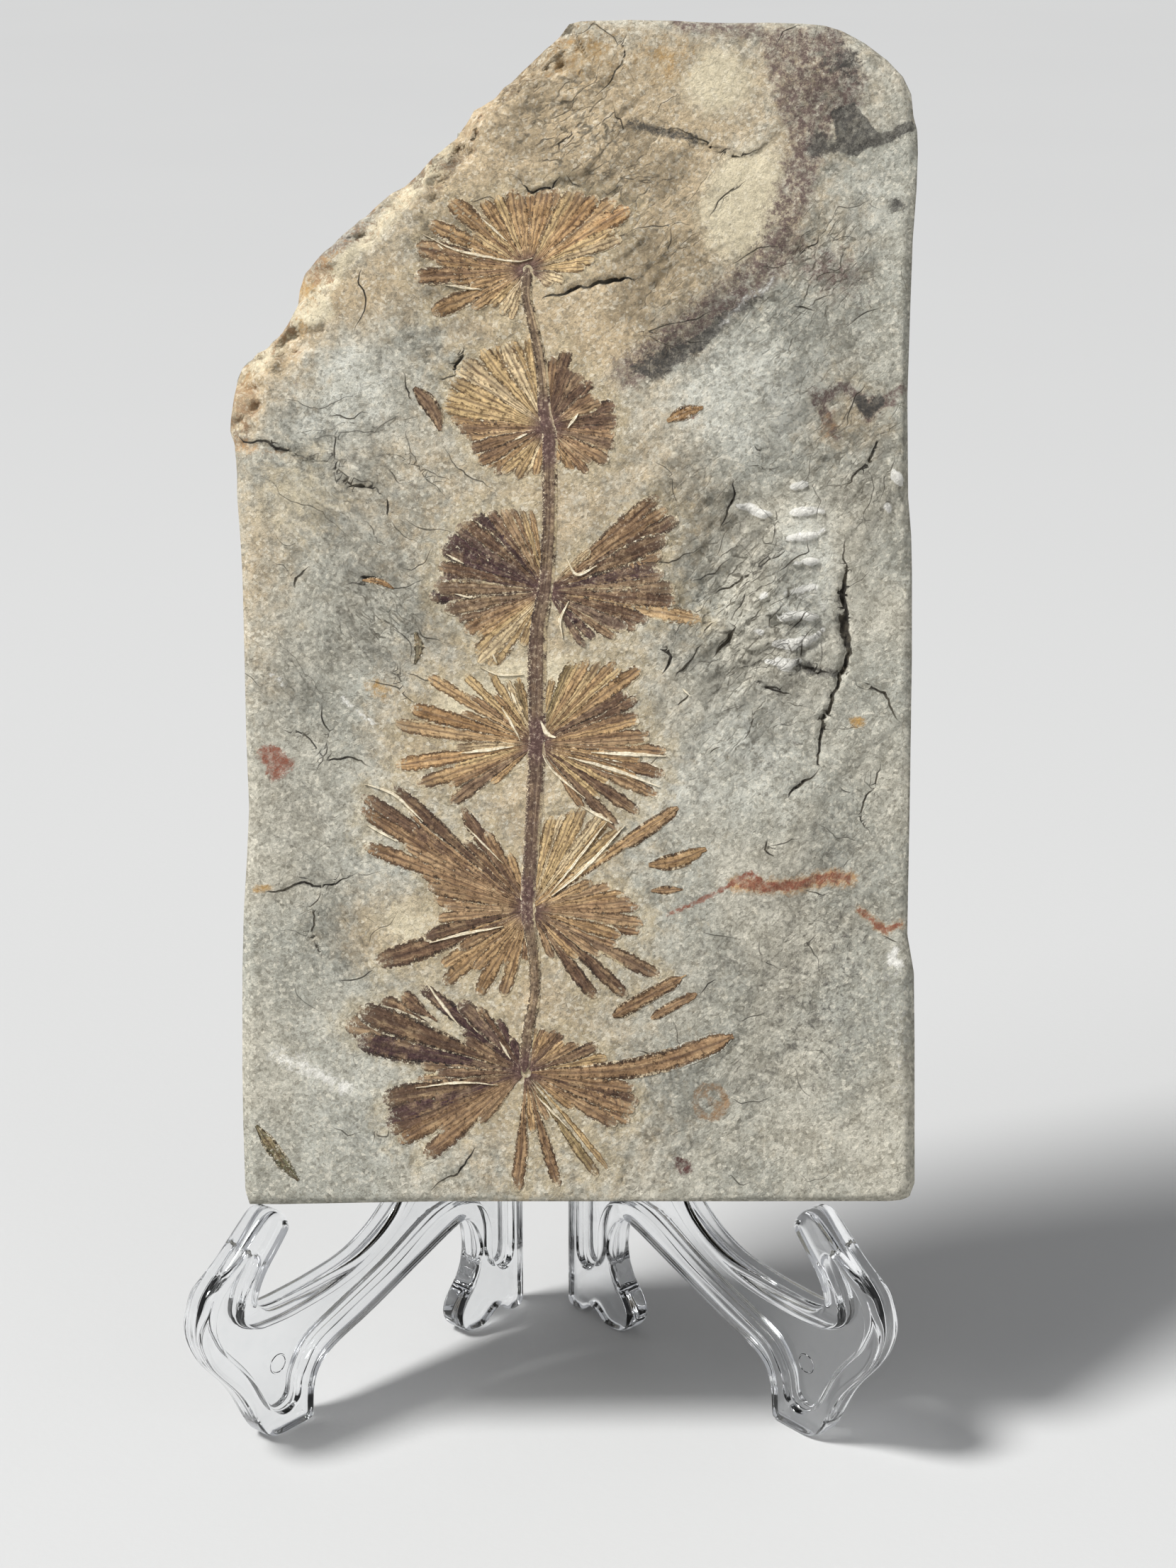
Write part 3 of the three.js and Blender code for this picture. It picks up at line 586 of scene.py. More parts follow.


# Each mark is a sum of shapes with an amount: iron has stained the stone warm round the plant
# and over the top, and there are pale, dark and red places of their own. Two slate streaks are
# painted shadow under ledges, and the chalk mark also holds painted highlight on the ladder.
STAINS = {
    "warm": [
        (1.1, streak, [(-7, 128), (-5, 103), (-5, 81), (-6, 61), (-7, 39), (-7, 14)], 27),
        (1.3, spot, -6, 140, 30, 26), (1, spot, 22, 150, 34, 14), (1.1, spot, 22, 132, 22, 16),
        (1, spot, 2, 122, 24, 16), (1.4, spot, -34, 121, 16, 9), (1.3, spot, -41, 112, 10, 9),
        (0.75, spot, -44, 82, 9, 30), (0.9, spot, -26, 36, 15, 8), (0.7, spot, -22, 62, 12, 12),
        (0.9, spot, 35, 104, 10, 9), (0.35, spot, 12, 92, 12, 18), (0.3, spot, 38, 118, 9, 18),
        (0.3, spot, 26, 92, 16, 8), (1, spot, -46, 106, 5, 8), (0.2, spot, 24, 6, 24, 12),
        (0.5, spot, -33, 93, 20, 18),
    ],
    "cream": [
        (0.6, spot, -38, 94, 14, 14), (1.5, spot, 21.5, 133, 8, 11.5, -20), (1.2, spot, 18, 149, 7.5, 7),
        (1.2, spot, -35.1, 118.4, 3.4, 2.6), (0.9, streak, [(-16, 66), (-6, 70), (2, 66)], 7),
        (0.8, spot, -24, 37, 9, 6), (0.8, streak, [(-44, 111), (-37, 119), (-30, 127), (-18, 140)], 3),
    ],
    "cool": [
        (1, spot, -35, 109, 12, 9), (0.9, spot, 38, 150, 6, 5), (0.8, spot, 38, 132, 8, 12),
        (1.4, spot, 22, 107, 17, 12), (1.5, spot, 29.6, 83.5, 6, 14), (0.8, spot, -26, 14, 22, 22),
        (0.9, spot, -24, 50, 16, 14), (0.8, spot, -31, 106, 12, 14), (0.8, spot, 10, 55, 8, 8),
        (0.9, spot, 22, 60, 14, 16),
    ],
    "umber": [
        (1.7, facet, [(21, 157.5), (24, 148), (25.2, 142.6), (32, 140), (38.4, 145), (39.2, 150),
            (35, 157.5)], 4.2),
        (1.4, streak, [(30.2, 141), (29.3, 138.4), (28.3, 134), (26.9, 131), (26.2, 127.6), (24.4, 124.3),
            (20.9, 121.4), (17.5, 118.6), (13.5, 115.7), (10.1, 112.9), (6.7, 110.6)], 3.9),
        (1, spot, 33, 124, 8, 6, -30), (0.9, streak, [(13, 156.8), (22, 156)], 2.4),
        (1.6, streak, [(30.6, 107.8), (32.7, 106.9), (34.2, 108.6)], 0.9),
        (1.6, streak, [(31.2, 106.4), (32.3, 104.8), (33.2, 102.9), (34, 101.8)], 0.9),
        (1.6, streak, [(35.4, 108.2), (37.5, 106.2), (38.2, 104.3), (39.9, 106.2), (42.7, 108.1)], 1),
        (1.5, streak, [(37, 107), (38.9, 106.7), (41.6, 106.2)], 0.8),
        (0.55, spot, 32.8, 105.4, 3.4, 4.2), (0.5, streak, [(-36, 126), (-30, 129.4)], 3),
    ],
    "slate": [
        (2.4, facet, [(32.9, 145.1), (34.1, 140.2), (36.6, 138.8), (40.2, 141.6), (36.3, 146.5)], 0.9),
        (1.5, streak, [(39, 141), (41, 141.8), (43.8, 143.2)], 1.1),
        (0.9, streak, [(31, 139.8), (35, 140.2)], 1.6),
        (1.54, facet, [(4.6, 111.4), (9.4, 107.9), (11.8, 109.2), (17.4, 113.4), (13.5, 115.6),
            (9.5, 113.8)], 2.6),
        (1.6, facet, [(13.6, 114.4), (16, 112.8), (19.8, 116.8), (18.4, 117.8)], 0.8),
        (0.8, streak, [(18, 117.4), (24, 120.4)], 1.2),
        (0.9, streak, [(6.6, 143.4), (10, 142.6), (15, 141.4)], 1.3),
        (1.8, streak, [(37, 106.6), (38.2, 105), (39.6, 106.6)], 1.1), (0.75, spot, 35, 151.4, 5, 5.5),
        # Two streaks here are painted shadow under ledges: the one from (28.6, 71.9) below the ladder,
        # and the one from (-46, 101.2) under the ledge crack at the upper left.
        (0.8, spot, 31.6, 141.4, 3, 2), (0.9, streak, [(28.6, 71.9), (31, 70.6), (33.6, 70.2)], 1.3),
        (0.45, streak, [(-46, 101.2), (-43, 100.5), (-39.6, 99.6)], 1.2), (0.16, spot, 32, 46, 22, 28),
        (0.38, spot, 33, 24, 20, 22), (1.1, spot, 42, 132.7, 1.8, 1.6),
        (0.5, streak, [(34.2, 80), (34.6, 74)], 1.6),
    ],
    "rust": [
        (1.5, spot, -41.3, 59.5, 2.3, 2.1), (1.1, spot, -39.2, 58.6, 2.4, 1.4, -30),
        (1.3, spot, -40.7, 57.2, 1.9, 2),
        (0.95, streak, [(11.4, 38.2), (14.3, 39.4), (18.4, 41.4), (22.5, 43.9), (24.4, 42), (28.6, 42)],
            0.55),
        (0.85, streak, [(21.6, 42.2), (24.8, 41.8), (28.8, 42.2), (32.6, 43.2), (35.5, 43)], 1.4),
        (0.95, streak, [(37, 38.9), (38.8, 37.3), (40.4, 36.1), (42.4, 36.9)], 0.75),
        (1.4, spot, 13.8, 104.6, 2.3, 1.1, 15),
    ],
    "amber": [
        (1.6, spot, 36.7, 63.8, 1.6, 1.3), (1.4, spot, -42.4, 41.7, 2.4, 0.9, 8),
        (0.85, spot, -26.8, 68.4, 3.6, 2.8), (0.8, spot, -37, 122, 4, 3),
        (0.7, spot, -33.6, 125.6, 3, 2.4), (0.8, spot, -37.4, 116.6, 1.6, 3),
        (0.6, spot, -44.4, 109.6, 3, 4), (0.55, spot, 1, 131, 13, 7), (0.6, spot, 0, 153, 18, 10),
        (0.5, spot, 12.5, 152, 6, 5),
    ],
    "wine": [
        (1.6, spot, 13.7, 4.6, 1.8, 1.5), (0.9, spot, 12.8, 5.6, 1.2, 0.9),
    ],
    "ochre": [
        (1.2, streak, [(20.6, 42.2), (24.6, 42), (28.6, 42), (32.6, 43.2), (35.8, 43)], 2.1),
        (0.9, streak, [(37, 38.9), (38.8, 37.3), (40.4, 36.1), (42.6, 36.9)], 1.5),
        (0.6, streak, [(-46, 101), (-42, 99.8), (-38, 98.8)], 1.4),
    ],
    "tan": [
        (1.3, ring, 17.2, 13.3, 2, 0.9), (1.1, streak, [(16, 14.6), (17.6, 13.2), (18.4, 11.8)], 0.9),
        (0.8, spot, -41.6, 116, 4, 3),
        (0.6, spot, -35, 124.5, 4, 3), (0.7, spot, -44.5, 106, 3.5, 5), (0.8, spot, 33, 103, 2.6, 4),
    ],
    "chalk": [
        (0.72, streak, [(-40.3, 19.4), (-36, 17.5), (-31.4, 15.1)], 2.3),
        (0.55, streak, [(26.1, 123.7), (24.6, 121.4), (22, 120.6), (20.4, 118.2), (17.5, 115.8)], 1),
        (0.9, streak, [(-41.3, 70.4), (-39.3, 68.7)], 0.5),
        (0.8, streak, [(-31.9, 67.1), (-30.2, 65.6), (-27.8, 63.8)], 0.6),
        (0.9, streak, [(41.8, 33.7), (41.2, 32.2), (42.4, 31.6)], 0.9),
        (0.38, streak, [(41.6, 32), (42, 22), (42.4, 12)], 2.2),
    ],
}
stains = {}
for name, rows in STAINS.items():
    stains[name] = np.zeros(face_x.shape)
    for amount, shape, *form in rows:
        stains[name] += amount * shape(*form)


def front_and_back(front, back):
    """Values for the front's points, 0 on the sides, and values for the back's."""
    back = np.broadcast_to(back, back_x.shape)
    return np.concatenate([front.ravel(), np.zeros(SIDE_RINGS * ring_size), back.ravel()])


# The broken edge is weathered brown, darkest where chips fell out.
broken_here = edge_rough * rise(0, 0.45, 1 - inward)
stains["slate"] += broken_here * np.clip(-chips - 0.1, 0, 1)
for name, amount in (("ochre", 0.75), ("umber", 0.45), ("tan", 0.45)):
    stains[name] += amount * broken_here
# The chalk mark gets painted highlight here: the ladder's ribs in full, and the crumpled glossy block
# round them in part, on top of the real chalky streaks.
stains["chalk"] = 3 * ladder + stains["chalk"] + 0.55 * glazed * np.clip(crumple, 0, 1)
stains["warm"] = front_and_back(stains["warm"], 0.55 + 1.3 * patches(back_x, back_y, 24, 26))
for name, values in {
    **stains, "crack_side": crack_side, "crack_half": crack_half, "crack_near": crack_near,
    "face": front_and_back(np.ones(face_x.shape), 1), "crazed": front_and_back(crazed, 0.6),
}.items():
    mark(slab, name, values)


def hue(red, green, blue):
    """A colour for a node socket, from its screen values."""
    screen = np.array((red, green, blue)) / 255
    light = np.where(screen <= 0.04045, screen / 12.92, ((screen + 0.055) / 1.055) ** 2.4)
    return (*[float(c) for c in light], 1.0)


class Finish:
    """A material built node by node. A socket given as a value is linked."""

    def __init__(self, name):
        self.material = bpy.data.materials.new(name)
        self.material.use_nodes = True
        self.tree = self.material.node_tree
        self.tree.nodes.clear()

    def add(self, kind, inputs=(), **settings):
        node = self.tree.nodes.new(kind)
        for key, value in settings.items():
            setattr(node, key, value)
        for key, value in dict(inputs).items():
            if isinstance(value, bpy.types.NodeSocket):
                self.tree.links.new(value, node.inputs[key])
            else:
                node.inputs[key].default_value = value
        return node

    def math(self, operation, *values, clamp=False):
        node = self.add("ShaderNodeMath", dict(enumerate(values)), operation=operation)
        node.use_clamp = clamp
        return node.outputs[0]

    def times(self, first, second):
        return self.math("MULTIPLY", first, second)

    def blend(self, amount, under, over, mode="MIX"):
        colours = {0: amount, 6: under, 7: over}
        return self.add("ShaderNodeMix", colours, data_type="RGBA", blend_type=mode).outputs[2]

    def coats(self, tint, rows):
        """Blends colours over a tint, one after another: amount, colour and any mode."""
        for amount, colour, *mode in rows:
            tint = self.blend(amount, tint, hue(*colour), *mode)
        return tint

    def spread(self, value, low, high, to_low=0.0, to_high=1.0):
        inputs = {0: value, 1: low, 2: high, 3: to_low, 4: to_high}
        return self.add("ShaderNodeMapRange", inputs, interpolation_type="SMOOTHSTEP").outputs[0]

    def cells(self, place, scale):
        """A random value for each small angular cell."""
        colour = self.add("ShaderNodeTexVoronoi", {"Vector": place, "Scale": scale}).outputs["Color"]
        return self.add("ShaderNodeSeparateXYZ", {0: colour}).outputs["X"]

    def value(self, attribute):
        return self.add("ShaderNodeAttribute", attribute_name=attribute).outputs["Fac"]

    def noise(self, place, scale, detail=4.0, rough=0.55, twist=0.0):
        inputs = {"Vector": place, "Scale": scale, "Detail": detail, "Roughness": rough,
                  "Distortion": twist}
        return self.add("ShaderNodeTexNoise", inputs).outputs["Fac"]

    def plate_place(self, stretch=(1, 1, 1)):
        """Object coordinates turned to lie along the plate, in millimetres."""
        place = self.add("ShaderNodeTexCoord").outputs["Object"]
        inputs = {"Vector": place, "Scale": (1000, 1000, 1000), "Rotation": (PLATE_LEAN, 0, 0)}
        level = self.add("ShaderNodeMapping", inputs).outputs[0]
        return self.add("ShaderNodeMapping", {"Vector": level, "Scale": stretch}).outputs[0]

    def surface(self, **sockets):
        shader = self.add("ShaderNodeBsdfPrincipled", sockets)
        out = self.add("ShaderNodeOutputMaterial")
        self.tree.links.new(shader.outputs[0], out.inputs["Surface"])
        return shader


def uneven_stain(finish, name, breakup, low, high, raggedness):
    """How much of a stain shows, with an uneven edge."""
    ragged_value = finish.math("MULTIPLY_ADD", breakup, raggedness, finish.value(name))
    return finish.spread(ragged_value, low, high)


def plain_stone(finish, place):
    """The stone's own colour at a place on the plate, without its small marks."""
    broad = finish.noise(place, 0.07, 3)
    middle = finish.noise(place, 0.33, 5, 0.62, 0.4)
    fine = finish.noise(place, 1.7, 5, 0.76)
    grains = finish.cells(place, 2.3)
    breakup = finish.math("SUBTRACT", finish.noise(place, 0.5, 7, 0.72, 0.3), 0.5)
    tint = finish.blend(finish.spread(broad, 0.36, 0.66), hue(178, 177, 165), hue(197, 192, 176))
    cool, warm, halo, cream = (
        uneven_stain(finish, name, breakup, low, high, raggedness)
        for name, low, high, raggedness in (
            ("cool", 0.1, 0.9, 1.2), ("warm", 0.15, 1.3, 1.9), ("halo", 0.2, 1.2, 3.0),
            ("cream", 0.25, 0.85, 1.1)))
    return finish.coats(tint, (
        (cool, (212, 211, 199)), (warm, (206, 184, 149)),
        (finish.times(halo, 0.6), (200, 184, 150)), (cream, (226, 213, 182)),
        (finish.spread(middle, 0.32, 0.72, 0, 0.46), (132, 126, 110), "MULTIPLY"),
        (finish.spread(fine, 0.49, 0.32, 0, 0.6), (108, 103, 88)),
        (finish.spread(fine, 0.53, 0.68, 0, 0.6), (232, 224, 204)),
        (finish.spread(grains, 0.3, 0, 0, 0.42), (108, 103, 88)),
        (finish.spread(grains, 0.72, 1, 0, 0.38), (236, 229, 210)),
        (finish.times(cream, 0.45), (222, 209, 178)),
    ))


stone = Finish("siltstone")
place = stone.plate_place()
fine = stone.noise(place, 1.7, 5, 0.76)
speck = stone.noise(place, 5.5, 3, 0.7)
breakup = stone.math("SUBTRACT", stone.noise(place, 0.9, 8, 0.78, 0.5), 0.5)
tint = plain_stone(stone, place)
mottle = stone.noise(place, 1.0, 8, 0.85)
# The marks: where each starts and is full, how ragged and how speckled it is, and its colour.
for name, low, high, raggedness, speckle, colour in (
    # slate also carries two painted ledge shadows, and chalk the painted highlight of the ladder's ribs.
    ("umber", 0.2, 0.95, 2.6, 0.9, (104, 86, 80)), ("slate", 0.25, 0.8, 2.6, 0.4, (75, 72, 67)),
    ("ochre", 0.35, 0.9, 2.2, 0.6, (190, 152, 108)), ("rust", 0.3, 0.7, 2.3, 0.5, (140, 84, 64)),
    ("amber", 0.3, 0.85, 2.2, 0.6, (178, 142, 86)), ("wine", 0.35, 0.75, 2.4, 0.7, (88, 54, 50)),
    ("tan", 0.35, 0.9, 2.6, 0.8, (158, 128, 96)), ("chalk", 0.3, 0.9, 2.8, 0.35, (240, 237, 228)),
):
    shown = uneven_stain(stone, name, breakup, low, high, raggedness)
    broken = stone.spread(mottle, 0.4, 0.58, 1 - speckle, 1)
    tint = stone.blend(stone.times(shown, broken), tint, hue(*colour))
tint = stone.blend(stone.spread(speck, 0.6, 0.72, 0, 0.55), tint, hue(104, 99, 86))

# Flakes of the split surface: long cells along the folds, some with an open dark edge.
axes = stone.add("ShaderNodeSeparateXYZ", {0: place}).outputs
wander = stone.add("ShaderNodeTexNoise", {"Vector": place, "Scale": 0.4, "Detail": 2.0})
wander_axes = stone.add("ShaderNodeSeparateXYZ", {0: wander.outputs["Color"]}).outputs
from_middle = stone.math("SUBTRACT", axes["X"], FOLD_MIDDLE)
from_middle = stone.math("MULTIPLY_ADD", from_middle, from_middle, FOLD_ROUND)
fold_height = stone.math("MULTIPLY_ADD", stone.math("SQRT", from_middle), -FOLD_SLOPE, axes["Z"])


def flakes(across, along, shove):
    """Distance to the edge of the nearest flake, and a height for each flake."""
    flake_place = stone.add("ShaderNodeCombineXYZ", {
        "X": stone.math("MULTIPLY_ADD", wander_axes["X"], shove, stone.times(axes["X"], along)),
        "Y": stone.math("MULTIPLY_ADD", wander_axes["Y"], shove, stone.times(fold_height, across)),
        "Z": stone.times(axes["Y"], across)}).outputs[0]
    edge = stone.add("ShaderNodeTexVoronoi", {"Vector": flake_place, "Scale": 1.0},
                     feature="DISTANCE_TO_EDGE").outputs["Distance"]
    return edge, stone.cells(flake_place, 1.0)


wide_edge, wide_level = flakes(0.36, 0.2, 1.0)
small_edge, small_level = flakes(0.8, 0.45, 1.2)
face_here = stone.value("face")
crazed_here = stone.math("MULTIPLY_ADD", breakup, 1.6, stone.value("crazed"))
crazed_here = stone.spread(crazed_here, 0.2, 0.9)
torn = stone.noise(place, 0.35, 3, 0.6)
wide_line = stone.times(stone.spread(wide_edge, 0.015, 0.075, 1, 0), stone.spread(torn, 0.46, 0.58))
small_line = stone.times(stone.spread(small_edge, 0.02, 0.13, 1, 0), stone.spread(torn, 0.54, 0.42))
web_line = stone.math("MAXIMUM", wide_line, stone.times(small_line, 0.7))
web_line = stone.times(web_line, stone.math("MULTIPLY_ADD", crazed_here, 0.8, 0.2))
web_line = stone.times(web_line, face_here)
tint = stone.blend(stone.times(web_line, 0.8), tint, hue(84, 79, 66))
side_away = stone.math("ABSOLUTE", stone.value("crack_side"))
half_here = stone.times(stone.value("crack_half"), stone.spread(fine, 0.3, 0.6, 0.7, 1.2))
crack_line = stone.spread(stone.math("SUBTRACT", side_away, half_here), -0.05, 0.06, 1, 0)
for value, low, high, to_low, to_high in (
    (stone.value("crack_near"), 0.45, 0.7, 1, 0), (stone.value("crack_half"), 0, 0.085, 0, 1),
    (face_here, 0.4, 0.6, 0, 1),
):
    crack_line = stone.times(crack_line, stone.spread(value, low, high, to_low, to_high))
crack_depth = stone.blend(stone.spread(torn, 0.42, 0.6), hue(42, 38, 31), hue(80, 74, 61))
tint = stone.blend(crack_line, tint, crack_depth)
height = stone.math("MULTIPLY_ADD", stone.noise(place, 2.6, 5, 0.75), 0.8, stone.times(fine, 0.7))
height = stone.math("MULTIPLY_ADD", stone.cells(place, 2.3), 0.3, height)
flake_height = stone.math("MULTIPLY_ADD", small_level, 0.7, stone.times(wide_level, 1.3))
flake_height = stone.times(flake_height, stone.math("MULTIPLY_ADD", crazed_here, 0.8, 0.2))
height = stone.math("ADD", height, stone.times(flake_height, face_here))
height = stone.math("MULTIPLY_ADD", web_line, -0.5, height)
height = stone.math("MULTIPLY_ADD", crack_line, -0.8, height)
bump = stone.add("ShaderNodeBump", {"Height": height, "Strength": 1.0, "Distance": 0.00034})
stone.surface(**{
    "Base Color": tint, "Roughness": stone.spread(fine, 0.3, 0.7, 0.62, 0.86),
    "Specular IOR Level": 0.35, "Normal": bump.outputs[0],
})
slab.data.materials.append(stone.material)
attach(slab, "left_half")
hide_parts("slab")

# ---- The leaf whorls ------------------------------------------------------------------------
# Six whorls of narrow leaves of a flattened horsetail. Each leaf is a brittle film of brown
# mineral that the plant left in the stone, proud of it by a hair, with darker margins and a
# midrib, and flaked here and there.

INKS = {
    "cream": hue(204, 184, 146), "straw": hue(186, 160, 115), "tan": hue(172, 141, 100),
    "brown": hue(142, 113, 82), "umber": hue(102, 77, 58), "plum": hue(69, 45, 47),
    "olive": hue(134, 117, 80), "ochre": hue(170, 135, 92), "moss": hue(98, 97, 70),
    "slate": hue(92, 90, 72), "bone_highlight": hue(228, 216, 190), "wood": hue(77, 59, 49),
}
